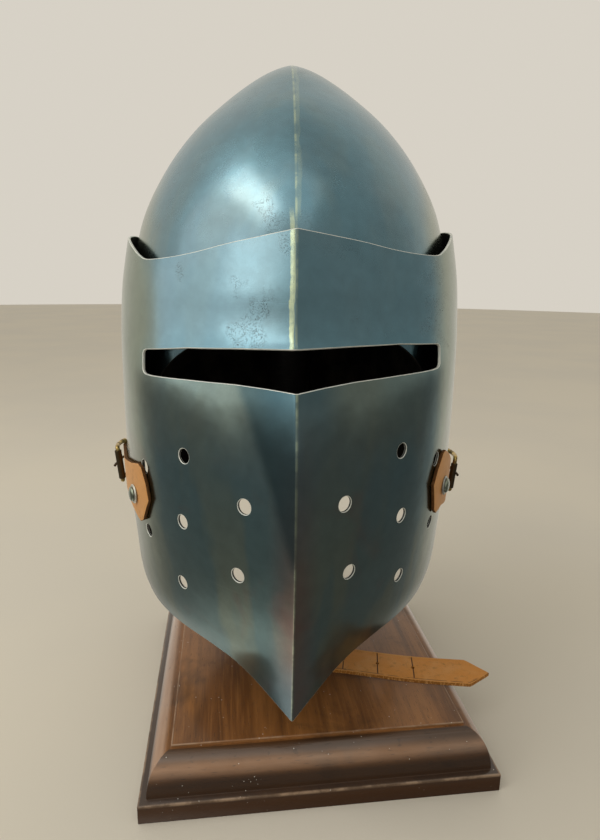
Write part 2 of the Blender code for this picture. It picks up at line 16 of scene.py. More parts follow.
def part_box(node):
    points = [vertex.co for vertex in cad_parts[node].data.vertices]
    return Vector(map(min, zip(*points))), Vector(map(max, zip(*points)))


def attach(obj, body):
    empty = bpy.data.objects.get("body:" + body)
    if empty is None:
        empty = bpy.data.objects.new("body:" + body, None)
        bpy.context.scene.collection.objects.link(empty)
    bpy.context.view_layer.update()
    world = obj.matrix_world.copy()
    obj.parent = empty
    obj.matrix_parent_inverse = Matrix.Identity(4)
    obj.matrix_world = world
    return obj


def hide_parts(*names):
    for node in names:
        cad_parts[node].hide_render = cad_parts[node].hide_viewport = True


bl_info = {
    "name": "Bascinet maker",
    "version": (1, 0, 0),
    "blender": (4, 5, 0),
    "location": "3D View > Sidebar > Bascinet",
    "description": "Makes the helmet, its tabs, buckles, strap, post and plinth",
    "category": "Add Mesh",
}

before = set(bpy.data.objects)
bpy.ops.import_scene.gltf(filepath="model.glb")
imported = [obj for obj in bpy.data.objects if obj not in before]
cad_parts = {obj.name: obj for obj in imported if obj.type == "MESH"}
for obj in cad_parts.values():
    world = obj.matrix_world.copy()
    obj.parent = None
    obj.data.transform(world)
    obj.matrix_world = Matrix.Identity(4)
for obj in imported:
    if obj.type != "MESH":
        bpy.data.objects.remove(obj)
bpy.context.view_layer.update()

MM = 0.001
BODY = "root"
PLINTH_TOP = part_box("plinth")[1].z

HANG = 0.027  # the helmet hangs lower towards -X, by this for each millimetre
HUNG = Matrix(((1, 0, 0, 0), (0, 1, 0, 0), (HANG, 0, 1, 0), (0, 0, 0, 1)))

# Sections of the skull: level, half width, front, back, widest place and crease.
SKULL_SECTIONS = (
    (411, 0, 18, 18, 18, 1.5),
    (408, 10, 4, 31, 18, 1.5),
    (399, 26, -19, 49, 17, 1.5),
    (384, 46, -44, 71, 15, 1.5),
    (364, 67, -72, 91, 12, 1.5),
    (339, 85, -96, 106, 8, 1.5),
    (309, 99, -116, 116, 4, 1.5),
    (274, 105, -126, 122, 0, 1.5),
    (229, 106, -130, 126, 0, 1.5),
    (174, 104, -129, 127, 0, 1.6),
    (124, 99, -125, 123, 0, 1.7),
    (92, 96, -122, 120, 0, 1.8),
    (79, 97, -122, 122, 0, 1.8),
)
# The skull's rim: share of the way round, and level. Then the face opening.
RIM = ((0.0, 108), (0.3, 106), (0.5, 100), (0.7, 88), (0.85, 81), (1.0, 79))
FACE_HALF_WIDTH, FACE_SPRING, FACE_ARCH = 88, 190, 62

# Sections of the visor: level, half width, ridge and roundness.
VISOR_SECTIONS = (
    (309, 103.5, -129, 2.9),
    (297, 105.5, -131, 2.9),
    (271, 110, -134, 2.9),
    (244, 112, -137, 2.9),
    (219, 112, -150, 2.8),
    (179, 113, -158, 2.5),
    (139, 113, -160, 2.3),
    (104, 111, -157, 2.2),
    (74, 109, -151, 2.1),
    (52, 103, -146, 2.0),
    (24, 95, -141, 2.0),
)
VISOR_WIDEST, VISOR_REAR, VISOR_REAR_TURN = 2, 14, 2  # Y, Y and how far the rear edge turns in
# Level and half width of the flat faces that stand forward beside the ridge below the slit.
KEEL = ((110, 0), (222, 34), (228, 34), (236, 0))
# How far forward they lean for each millimetre inwards, how softly they begin, and the half width
# that gives them their full lean.
KEEL_SLOPE, KEEL_BLEND, KEEL_START = 0.16, 3, 8
KEEL_FOOT = PLINTH_TOP + KEEL[0][0] * MM
KEEL_TAPER = KEEL[1][1] / (KEEL[1][0] - KEEL[0][0])
# The visor's upper and lower edges: share of the way round, and level.
VISOR_TOP = (
    (0.0, 297),
    (0.1, 294),
    (0.2, 291),
    (0.3, 287.5),
    (0.4, 285.3),
    (0.5, 284.8),
    (0.55, 287.4),
    (0.6, 291.4),
    (0.65, 295),
    (0.7, 297.6),
    (0.78, 300),
    (0.88, 301.5),
    (0.95, 301),
    (1.0, 297),
)
VISOR_BOTTOM = (
    (0.0, 28),
    (0.05, 35),
    (0.1, 42),
    (0.15, 48.5),
    (0.2, 53.5),
    (0.25, 56.5),
    (0.35, 59.3),
    (0.5, 59.5),
    (0.65, 60),
    (0.8, 62),
    (0.93, 67),
    (1.0, 76),
)
# One side of the eye slit, as X and level, from the ridge along its lower edge and back.
SLIT = (
    (0, 220.2),
    (14, 221.2),
    (30, 221.7),
    (58, 221.6),
    (80, 221),
    (84.2, 221.3),
    (85.5, 222.2),
    (86, 223.6),
    (86, 232.6),
    (85.5, 233.9),
    (84.2, 234.7),
    (80, 235.2),
    (58, 237.5),
    (30, 238.5),
    (14, 238.8),
    (0, 239),
)
# X and level of the breaths on one side.
BREATHS = (
    (26, 159.5),
    (30, 118.5),
    (60, 179.5),
    (62.5, 139.5),
    (65, 97),
    (88.5, 164),
    (89, 120),
)

SIDES = (("left", -1, 146, 21), ("right", 1, 132.1, 18.7))  # with the buckle's level, roller length
# Outline of a tab's head before it is turned on its rivet, as Y along the visor's side and level.
TAB = (
    (-68, 162.6),
    (-78, 166.4),
    (-81.8, 165.3),
    (-86.2, 156.2),
    (-88.3, 146.4),
    (-83.8, 137.5),
    (-79.5, 128.8),
    (-75, 125.6),
    (-70.5, 126.4),
    (-66, 128),
)
TAB_LEVEL, TAB_REACH = 139, 60  # the buckle's level that leaves it unturned, and from rivet to buckle
# Room under the tab, the Y where its neck leaves the visor, and how far out it then runs for each
# millimetre back.
TAB_CLEARANCE, TAB_LEAVES, TAB_SLOPE = 0.5, -38, 0.26
TAB_RIVET = (-69.6, 142.2)
# Y where the neck's upper and lower edge begin and where it ends, and half its width.
NECK_TOP_START, NECK_BOTTOM_START, NECK_END, NECK_HALF_WIDTH = -31, -46, -1.5, 10.2
TAB_BEND = 2  # between the folds of the bent leather
LEATHER_EASE = 0.45  # how far a tab's edges are rounded
HALF_LEVEL, GRAIN_SIDE = 0.5, 0.8  # Z of the normals that part a tab's flat faces from its edge
RIVET_RADIUS, RIVET_RISE, RIVET_BRIM = 4.6, 1.7, 0.25
WASHER_RADIUS, WASHER_THICKNESS = 6.2, 0.9
WASHER_EASE = ((0, 0.25), (0.15, 0.5), (0.7, 0.9))  # its edge, as far in from the rim and up

# X and Y of the middle of the +X buckle's front bar.
BUCKLE_FRONT = (119.4, -20.5)
BUCKLE_LENGTH, BUCKLE_HEIGHT, BUCKLE_CORNER, BUCKLE_BOW = 21.5, 24.5, 1.8, 2.0
BUCKLE_WIRE, BUCKLE_TURN_IN, BUCKLE_LEAN = 1.5, 0.02, math.radians(6)
ROLLER_RADIUS, ROLLER_EASE, TONGUE_RADIUS = 2.3, 0.35, 1.0
# The tongue's middle line, as shares of its reach back and of its rise over the roller.
TONGUE = ((1, 0.8), (0.6, 0.95), (0, 1))
TONGUE_END = (0.6, 0.8)  # both as shares of the rise, in front of the roller
TONGUE_TAPER, TONGUE_BUTT, TONGUE_TIP = 0.8, 0.6, 0.4

# Route of the strap's middle line, as X, Y and level, from inside the skull to its free end.
STRAP_ROUTE = (
    (-92.6, 2, 130),
    (-91.2, 2, 104),
    (-87, 2, 74),
    (-66, 0, 42),
    (-48, -12, 18),
    (-30, -26, 8),
    (0, -44.5, 5.5),
    (42, -52.5, 4.5),
    (90, -59.5, 1.6),
    (142, -66.5, 1.6),
)
STRAP_POINT = 15  # length of its pointed end
STRAP_HOLES = (40, 64, 89)  # X of each punched hole

# Profile of the post, as radius and height above the plinth's top.
POST_Y = 18
POST = (
    (0, 0.3),
    (30, 0.3),
    (30, 8),
    (17, 14),
    (17, 321),
    (36, 345),
    (36, 371),
    (22, 391),
    (8, 403),
    (0, 405),
)
PLINTH_WIDTH, PLINTH_HEIGHT, PLINTH_CENTRE = 220, 36, (12, -27)
PLINTH_TURN = math.radians(4.6)
# How far out from its top face and down from it the plinth's lip and ovolo end, and its foot.
PLINTH_LIP, PLINTH_OVOLO, PLINTH_FOOT = (1.2, 1.5), (14, 24), 18.6
# How far the plinth's arrises and the post's rings are rounded, and the angles that make them one.
PLINTH_EASE, POST_EASE = 0.45, 1.2
PLINTH_ARRIS, POST_RING = math.radians(50), math.radians(12)
LEVEL_FACE = 0.9999  # Z of the normal of a face that lies level
GRAIN_APART = 0.4  # shift of the grain, in metres, between the plinth's neighbouring sides

GAP = 0.3  # between pieces that lie on each other
MERGE = 0.01 * MM
# Width of half a shell once it is laid flat, and how many faces go along and up it.
VISOR_SPREAD, VISOR_COLUMNS, VISOR_ROWS = 215, 96, 96
SKULL_SPREAD, SKULL_COLUMNS, SKULL_ROWS = 360, 96, 96
STRAP_COLUMNS, STRAP_ROWS = 150, 14
# How many points go along a section's front and between the rows of a table, and along each curve.
FINE, SPLINE_STEPS = 120, 24
ARCH_STEPS, DOME_STEPS, OVOLO_STEPS, CORNER_STEPS = 24, 13, 25, 7
BREATH_STEPS, STRAP_HOLE_STEPS = 32, 16
RIVET_STEPS, ROLLER_STEPS, WIRE_STEPS, TONGUE_STEPS, POST_STEPS, FLOOR_STEPS = 48, 32, 16, 14, 96, 96
# The most that lies between two points of the face opening, the slit and a buckle's ring.
ARCH_STEP, SLIT_STEP, RING_STEP = 4, 2.5, 2

# Levels over which the painted shade on the breaths' walls comes and goes.
BREATH_SHADE_FROM, BREATH_SHADE_TO = (84, 90), (188, 194)

# The soft boxes: name, azimuth from -Y towards +X and elevation in degrees, distance, width and
# height, power, colour, and turn about the middle in degrees. They aim at the lit spot.
LIGHTS = (
    ("window", -72, 30, 1.3, (1.15, 1.5), 3.4, (0.97, 0.98, 0.98), 0),
    ("core", -66, 53, 1.25, (0.8, 0.28), 1.9, (1.0, 0.93, 0.82), -15),
    ("low_core", -53, 17, 1.3, (0.36, 0.5), 0.85, (1.0, 0.94, 0.85), 0),
    ("above", -8, 62, 1.6, (1.9, 1.2), 3.4, (1.0, 0.97, 0.92), 0),
)
LIT_SPOT = (0, -0.03, 0.26)
FLOOR_RADIUS = 6
CAMERA_PLACE = (-0.0112, -0.435, PLINTH_TOP + 0.275)
CAMERA_TURN, CAMERA_DIP, CAMERA_ROLL = -2.6, 13.5, 0.8
CAMERA_SENSOR, CAMERA_LENS, CAMERA_NEAREST = 36, 25.93, 0.01


def lofted(sections, steps=SPLINE_STEPS):
    """The rows of a table with a smooth curve's points between them."""
    rows = np.array(sections, float)
    ends = np.vstack([2 * rows[0] - rows[1], rows, 2 * rows[-1] - rows[-2]])
    points = []
    for before, first, last, after in zip(ends, ends[1:], ends[2:], ends[3:]):
        for t in np.linspace(0, 1, steps, endpoint=False):
            points.append(
                0.5
                * (
                    2 * first
                    + (last - before) * t
                    + (2 * before - 5 * first + 4 * last - after) * t**2
                    + (3 * first - before - 3 * last + after) * t**3
                )
            )
    return np.array(points + [rows[-1]])


def level_of(edge, share):
    """The level of an edge at a share of the way round."""
    return float(np.interp(share, edge[:, 0], edge[:, 1]))


def section_at(sections, level):
    """A table's other columns at this level, where the table runs down from the top."""
    upwards = sections[::-1]
    return [float(np.interp(level, upwards[:, 0], column)) for column in upwards[:, 1:].T]


SKULL_LOFT = lofted(SKULL_SECTIONS)
RIM_LOFT = lofted(RIM)
VISOR_LOFT = lofted(VISOR_SECTIONS)
TOP_LOFT = lofted(VISOR_TOP)
BOTTOM_LOFT = lofted(VISOR_BOTTOM)


def outline_of(front_x, front_y, back_x, back_y):
    """An outline from its front part and its back part, which begins where the front one ends."""
    return np.stack([np.append(front_x, back_x[1:]), np.append(front_y, back_y[1:])], -1)


def skull_outline(level):
    """X and Y along the +X half of the skull's outside, from keel to back."""
    half_width, front, back, widest, crease = section_at(SKULL_LOFT, level)
    turn = np.linspace(0, math.pi / 2, FINE)
    front_x = half_width * np.sin(turn) ** (2 / crease)
    front_y = widest - (widest - front) * np.cos(turn)
    back_x = half_width * np.cos(turn)
    back_y = widest + (back - widest) * np.sin(turn)
    return outline_of(front_x, front_y, back_x, back_y)


def visor_outline(level):
    """X and Y along the +X half of the visor's outside, from ridge to rear edge."""
    half_width, ridge, roundness = section_at(VISOR_LOFT, level)
    turn = np.linspace(0, math.pi / 2, FINE)
    front_x = half_width * np.sin(turn) ** 2
    front_y = VISOR_WIDEST - (VISOR_WIDEST - ridge) * np.cos(turn) ** (2 / roundness)
    keel = float(np.interp(level, *zip(*KEEL)))
    inwards = keel - front_x
    bend = (inwards + np.sqrt(inwards**2 + KEEL_BLEND**2)) / 2
    front_y = front_y - KEEL_SLOPE * min(1, keel / KEEL_START) * bend
    back_y = np.linspace(VISOR_WIDEST, VISOR_REAR, FINE // 4)
    turn_in = ((back_y - VISOR_WIDEST) / (VISOR_REAR - VISOR_WIDEST)) ** 2
    back_x = half_width - VISOR_REAR_TURN * turn_in
    return outline_of(front_x, front_y, back_x, back_y)


def run_of(outline):
    """How far along an outline each of its points lies."""
    steps = np.linalg.norm(np.diff(outline, axis=0), axis=1)
    return np.concatenate([[0], np.cumsum(steps)])


def place(x, y, level):
    """A point in metres from X, Y and a level in millimetres."""
    return Vector((x * MM, y * MM, PLINTH_TOP + level * MM))


def on_outline(outline, share):
    """X and Y at a share of an outline's length."""
    run = run_of(outline)
    return [np.interp(share * run[-1], run, outline[:, axis]) for axis in (0, 1)]


def share_at(outline, x):
    """The share of an outline's length at which its front part reaches this X."""
    run = run_of(outline)
    return float(np.interp(x, outline[:FINE, 0], run[:FINE])) / run[-1]


def skull_level(share, rise):
    """The level at a share of the way round the skull and of the way up from its rim."""
    row = (1 - rise) * (len(SKULL_LOFT) - 1)
    level = float(np.interp(row, np.arange(len(SKULL_LOFT)), SKULL_LOFT[:, 0]))
    rim = level_of(RIM_LOFT, share)
    top, lowest = SKULL_SECTIONS[0][0], SKULL_SECTIONS[-1][0]
    return level + (rim - lowest) * ((top - level) / (top - lowest)) ** 2


def visor_level(share, rise):
    """The level at a share of the way round the visor and of the way up from its lower edge."""
    lower, upper = level_of(BOTTOM_LOFT, share), level_of(TOP_LOFT, share)
    return lower + (upper - lower) * rise


def visor_side(level, y):
    """The visor's +X outside at this Y, and the outward direction there."""
    outline = visor_outline(level)
    row = np.interp(y, outline[:, 1], np.arange(len(outline)))
    spots = []
    for near in (row - 1.5, row, row + 1.5):
        spots.append([np.interp(near, np.arange(len(outline)), outline[:, k]) for k in (0, 1)])
    (before_x, before_y), (x, y), (after_x, after_y) = spots
    along = Vector((after_x - before_x, after_y - before_y, 0)).normalized()
    return place(x, y, level), Vector((along.y, -along.x, 0))


def flat_sheet(columns, rows, spread, level_at):
    """A flat half shell: X is the way round from the front in millimetres, and Y the level."""
    shell = bmesh.new()
    bmesh.ops.create_grid(shell, x_segments=columns, y_segments=rows, size=0.5)
    for vertex in shell.verts:
        share, rise = vertex.co.x + 0.5, vertex.co.y + 0.5
        vertex.co = (share * spread, level_at(share, rise), 0)
    return shell


def inside(spots, corners):
    """Which points lie inside a closed outline."""
    within = np.zeros(len(spots), bool)
    for (x0, y0), (x1, y1) in zip(corners, np.roll(corners, -1, axis=0)):
        if y0 == y1:
            continue
        crosses = (spots[:, 1] >= min(y0, y1)) & (spots[:, 1] < max(y0, y1))
        at = x0 + (spots[:, 1] - y0) * (x1 - x0) / (y1 - y0)
        within ^= crosses & (spots[:, 0] < at)
    return within


def beside(spots, outline, margin):
    """Which points lie within a margin of an outline's edges."""
    close = np.zeros(len(spots), bool)
    for start, end in zip(outline, outline[1:]):
        span = end - start
        share = np.clip((spots - start) @ span / max(span @ span, 1e-9), 0, 1)
        close |= np.linalg.norm(spots - start - share[:, None] * span, axis=1) < margin
    return close


def pierced(shell, outline, margin=1.0, beyond=None):
    """Opens a flat sheet along an outline and joins the new edge to the faces round it. Where the
    outline ends on the sheet's own edge, beyond holds the corners that close it outside."""
    outline = np.array(outline, float)
    closed = beyond is None
    corners = outline if closed else np.concatenate([outline, np.reshape(beyond, (-1, 2))])
    track = np.concatenate([outline, outline[:1]]) if closed else outline
    spots = np.array([vertex.co[:2] for vertex in shell.verts])
    opened = inside(spots, corners) | beside(spots, track, margin)
    taken = {vertex for vertex, gone in zip(shell.verts, opened) if gone}
    lost = list({face for vertex in taken for face in vertex.link_faces})
    if not lost:
        raise RuntimeError("an opening misses its sheet")
    gone = set(lost)
    around = {edge for face in lost for edge in face.edges}
    rim = [e for e in around if len(e.link_faces) == 2 and sum(f in gone for f in e.link_faces) == 1]
    ends = []
    if not closed:
        chain = [vert for edge in rim for vert in edge.verts]
        ends = [vert for vert in set(chain) if chain.count(vert) == 1]
    bmesh.ops.delete(shell, geom=lost, context="FACES")
    verts = [shell.verts.new((x, y, 0)) for x, y in outline]
    edges = [shell.edges.new(pair) for pair in zip(verts, verts[1:])]
    if closed:
        edges.append(shell.edges.new((verts[-1], verts[0])))
    for end in ends:
        nearest = min((verts[0], verts[-1]), key=lambda vert: (vert.co - end.co).length)
        edges.append(shell.edges.new((end, nearest)))
    bmesh.ops.triangle_fill(shell, edges=rim + edges, use_beauty=True, normal=(0, 0, 1))


def arc(centre, radii, start, end, count, whole=False):
    """Points on an ellipse round a centre, from one turn to another, or all the way round."""
    turns = np.linspace(start, end, count, endpoint=not whole)
    return [(centre[0] + radii[0] * math.cos(turn), centre[1] + radii[1] * math.sin(turn)) for turn in turns]


def spaced(outline, step):
    """An outline with points between its corners, no further apart than a step."""
    points = []
    for start, end in zip(outline, outline[1:]):
        start, end = np.array(start, float), np.array(end, float)
        count = max(1, round(float(np.linalg.norm(end - start)) / step))
        points += [start + (end - start) * k / count for k in range(count)]
    return points + [np.array(outline[-1], float)]


def raised(shell, spread, outline_at):
    """Lifts a flat half shell onto its sections and mirrors it."""
    for vertex in shell.verts:
        x, y = on_outline(outline_at(vertex.co.y), vertex.co.x / spread)
        vertex.co = place(x, y, vertex.co.y)
    bmesh.ops.remove_doubles(shell, verts=shell.verts, dist=MERGE)
    whole = shell.verts[:] + shell.edges[:] + shell.faces[:]
    bmesh.ops.mirror(shell, geom=whole, axis="X", merge_dist=MERGE)
    bmesh.ops.recalc_face_normals(shell, faces=shell.faces)
    outwards = sum(face.normal.xy.dot(face.calc_center_median().xy) for face in shell.faces)
    if outwards < 0:
        bmesh.ops.reverse_faces(shell, faces=shell.faces)


def facing_out(shell):
    """Turns the faces of a closed shell outwards."""
    bmesh.ops.recalc_face_normals(shell, faces=shell.faces)
    if shell.calc_volume(signed=True) < 0:
        bmesh.ops.reverse_faces(shell, faces=shell.faces)


def sided(shell, side, matrix=None):
    """Puts a +X piece of the helmet where it belongs, turns it into the -X one where side is -1,
    and hangs it."""
    if matrix:
        shell.transform(matrix)
    if side < 0:
        shell.transform(Matrix.Scale(-1, 4, (1, 0, 0)))
        bmesh.ops.reverse_faces(shell, faces=shell.faces)
    shell.transform(HUNG)
    return shell


def frame_on(origin, up):
    """The matrix that puts Z along a direction at a point."""
    return Matrix.Translation(origin) @ up.to_track_quat("Z", "Y").to_matrix().to_4x4()


def turned(profile, steps):
    """A shell turned round Z from a profile of radius and height in millimetres."""
    shell = bmesh.new()
    verts = [shell.verts.new((radius * MM, 0, height * MM)) for radius, height in profile]
    edges = [shell.edges.new(pair) for pair in zip(verts, verts[1:])]
    bmesh.ops.spin(
        shell,
        geom=verts + edges,
        cent=(0, 0, 0),
        axis=(0, 0, 1),
        angle=math.tau,
        steps=steps,
        use_merge=True,
    )
    bmesh.ops.remove_doubles(shell, verts=shell.verts, dist=MERGE)
    facing_out(shell)
    return shell


def bevelled(shell, edges, width, segments):
    """Rounds edges by a width in millimetres."""
    bmesh.ops.bevel(
        shell,
        geom=edges,
        offset=width * MM,
        offset_type="OFFSET",
        affect="EDGES",
        segments=segments,
        profile=0.5,
        material=-1,
        clamp_overlap=True,
    )


def swept(route, radii, steps, up, closed=False):
    """A round bar along a route in metres that lies in a plane, whose normal is up, with a radius
    in millimetres at each point."""
    shell = bmesh.new()
    count = len(route)
    frames = []
    for k, centre in enumerate(route):
        before = route[k - 1] if closed or k else centre
        after = route[(k + 1) % count] if closed or k < count - 1 else centre
        along = (after - before).normalized()
        across = up.cross(along).normalized()
        axes = Matrix((across, along.cross(across), along)).transposed().to_4x4()
        frames.append(Matrix.Translation(centre) @ axes @ Matrix.Scale(radii[k] * MM, 4))
    bmesh.ops.create_circle(shell, cap_ends=False, segments=steps, radius=1, matrix=frames[0])
    rim = shell.edges[:]
    ends = [rim]
    for last, here in zip(frames, frames[1:] + (frames[:1] if closed else [])):
        moved = bmesh.ops.extrude_edge_only(shell, edges=rim)["geom"]
        verts = [item for item in moved if isinstance(item, bmesh.types.BMVert)]
        rim = [item for item in moved if isinstance(item, bmesh.types.BMEdge)]
        bmesh.ops.transform(shell, matrix=here @ last.inverted(), verts=verts)
    if closed:
        bmesh.ops.remove_doubles(shell, verts=shell.verts, dist=MERGE)
    else:
        for end in ends + [rim]:
            bmesh.ops.contextual_create(shell, geom=end)
    facing_out(shell)
    return shell


def finished(name, shell, materials, replaced, crease=35):
    """A shell as a piece of the helmet, which stands for the named parts."""
    mesh = bpy.data.meshes.new(name)
    shell.to_mesh(mesh)
    shell.free()
    mesh.shade_smooth()
    if crease:
        mesh.set_sharp_from_angle(angle=math.radians(crease))
    for material in materials:
        mesh.materials.append(material)
    piece = bpy.data.objects.new(name, mesh)
    bpy.context.scene.collection.objects.link(piece)
    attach(piece, BODY)
    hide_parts(*replaced)
    return piece


def walled(piece, thickness, inner, rim, offset=-1):
    """Gives a sheet its thickness, with the places of the inner side's and the edge's materials."""
    wall = piece.modifiers.new("wall", "SOLIDIFY")
    wall.thickness = thickness
    wall.offset = offset
    wall.use_even_offset = False
    wall.use_quality_normals = True
    wall.material_offset = inner
    wall.material_offset_rim = rim


def eased(piece, width, segments=2, angle=50, material=-1):
    """Rounds the sharp edges of a piece a little, in the material of one of its places."""
    edge = piece.modifiers.new("eased_edges", "BEVEL")
    edge.material = material
    edge.width = width
    edge.segments = segments
    edge.limit_method = "ANGLE"
    edge.angle_limit = math.radians(angle)
    edge.use_clamp_overlap = False
    edge.loop_slide = False
    edge.harden_normals = True


class Value:
    """A socket that takes part in arithmetic. Each step adds a Math node."""

    def __init__(self, nodes, socket):
        self.nodes = nodes
        self.socket = socket

    def math(self, operation, *terms):
        return self.nodes.node("ShaderNodeMath", {"operation": operation}, dict(enumerate(terms)))

    def __add__(self, other):
        return self.math("ADD", self, other)

    def __sub__(self, other):
        return self.math("SUBTRACT", self, other)

    def __rsub__(self, other):
        return self.math("SUBTRACT", other, self)

    def __mul__(self, other):
        return self.math("MULTIPLY", self, other)

    def __truediv__(self, other):
        return self.math("DIVIDE", self, other)

    def __abs__(self):
        return self.math("ABSOLUTE", self)

    __radd__ = __add__
    __rmul__ = __mul__

    def or_more(self, other):
        """The greater of the two."""
        return self.math("MAXIMUM", self, other)

    def rising(self, low, high):
        """0 below low and 1 above high, with a smooth step between them."""
        return self.nodes.node(
            "ShaderNodeMapRange",
            {"interpolation_type": "SMOOTHSTEP"},
            {"Value": self, "From Min": low, "From Max": high},
        )

    def falling(self, low, high):
        """1 below low and 0 above high."""
        return 1 - self.rising(low, high)


class Nodes:
    """The nodes of one tree, made a call at a time."""

    def __init__(self, tree, end):
        self.tree = tree
        self.end = tree.nodes[end]

    def node(self, kind, settings=None, sockets=None, output=0):
        """A node of any kind: its settings, and then the values or links of its sockets."""
        made = self.tree.nodes.new(kind)
        for key, value in (settings or {}).items():
            setattr(made, key, value)
        for key, value in (sockets or {}).items():
            if isinstance(value, Value):
                self.tree.links.new(value.socket, made.inputs[key])
            else:
                made.inputs[key].default_value = value
        return Value(self, made.outputs[output])

    def feed(self, key, value):
        """Sets one of the sockets of the node that the tree ends in, or links it."""
        if isinstance(value, Value):
            self.tree.links.new(value.socket, self.end.inputs[key])
        else:
            self.end.inputs[key].default_value = value

    def along(self, place, shift=(0, 0, 0), turn=(0, 0, 0), scale=(1, 1, 1)):
        """A place moved, turned and stretched."""
        sockets = {"Vector": place, "Location": shift, "Rotation": turn, "Scale": scale}
        return self.node("ShaderNodeMapping", None, sockets)

    def parts(self, place):
        """X, Y and Z of a place."""
        return [self.node("ShaderNodeSeparateXYZ", None, {0: place}, axis) for axis in (0, 1, 2)]

    def noise(self, place, scale, detail=3.0, roughness=0.5, distortion=0.0):
        """Soft clouds from 0 to 1."""
        sockets = {
            "Vector": place,
            "Scale": scale,
            "Detail": detail,
            "Roughness": roughness,
            "Distortion": distortion,
        }
        return self.node("ShaderNodeTexNoise", {"normalize": True}, sockets)

    def cells(self, place, scale):
        """How far each place is from the middle of its cell."""
        return self.node("ShaderNodeTexVoronoi", None, {"Vector": place, "Scale": scale})

    def mixed(self, amount, first, second, blend="MIX"):
        """Two colours, mixed by an amount."""
        first = first if isinstance(first, Value) else (*first, 1)
        second = second if isinstance(second, Value) else (*second, 1)
        settings = {"data_type": "RGBA", "blend_type": blend, "clamp_factor": True}
        return self.node("ShaderNodeMix", settings, {0: amount, 6: first, 7: second}, 2)

    def layered(self, colour, *layers):
        """A colour with others laid over it in turn, each by its amount."""
        for amount, over in layers:
            colour = self.mixed(amount, colour, over)
        return colour

    def relief(self, height, depth, under=None):
        """Normals bent by a height of 0 to 1, which stands for this many millimetres."""
        sockets = {"Height": height, "Distance": depth * MM, "Strength": 1.0}
        if under is not None:
            sockets["Normal"] = under
        return self.node("ShaderNodeBump", None, sockets)


class Finish(Nodes):
    """The nodes of one material."""

    def __init__(self, name, metallic=0.0, specular=0.5, coat=0.0, coat_roughness=0.2, coat_ior=1.5):
        self.material = bpy.data.materials.new(name)
        self.material.use_nodes = True
        super().__init__(self.material.node_tree, "Principled BSDF")
        self.feed("Metallic", metallic)
        self.feed("Specular IOR Level", specular)
        self.feed("Coat Weight", coat)
        self.feed("Coat Roughness", coat_roughness)
        self.feed("Coat IOR", coat_ior)
        self.place = self.node("ShaderNodeTexCoord", output="Object")

    def done(self, colour, roughness, height, depth, under=None):
        """The material, with its colour, its roughness and its relief in millimetres."""
        self.feed("Base Color", colour)
        self.feed("Roughness", roughness)
        self.feed("Normal", self.relief(height, depth, under))
        return self.material


def length(name, description, default, unit="LENGTH"):
    """A size that a maker would change."""
    return FloatProperty(name=name, description=description, default=default, unit=unit)


class BascinetSizes(bpy.types.PropertyGroup):
    """Sizes of the pieces."""

    plate: length("Plate", "Thickness of the skull's and the visor's steel", 1.6 * MM)
    plate_edge: length("Plate edge", "How far the steel's cut edges are rounded", 0.4 * MM)
    ridge: length("Ridge", "How far the visor's ridge is rounded, in millimetres", 1.0, "NONE")
    breath: length("Breath", "Diameter of the visor's round holes", 8.4 * MM)
    tab_leather: length("Tab leather", "Thickness of the tabs", 2.2 * MM)
    strap_leather: length("Strap leather", "Thickness of the strap", 2.6 * MM)
    strap_edge: length("Strap edge", "How far the strap's edges are rounded", 0.4 * MM)
    strap_width: length("Strap width", "Width of the strap", 27 * MM)
    strap_hole: length("Strap hole", "Diameter of the strap's punched holes", 2.4 * MM)


def tint(name, description, default):
    """A colour that a maker would change."""
    return FloatVectorProperty(
        name=name,
        description=description,
        default=default,
        subtype="COLOR",
        size=3,
        min=0.0,
        max=1.0,
    )


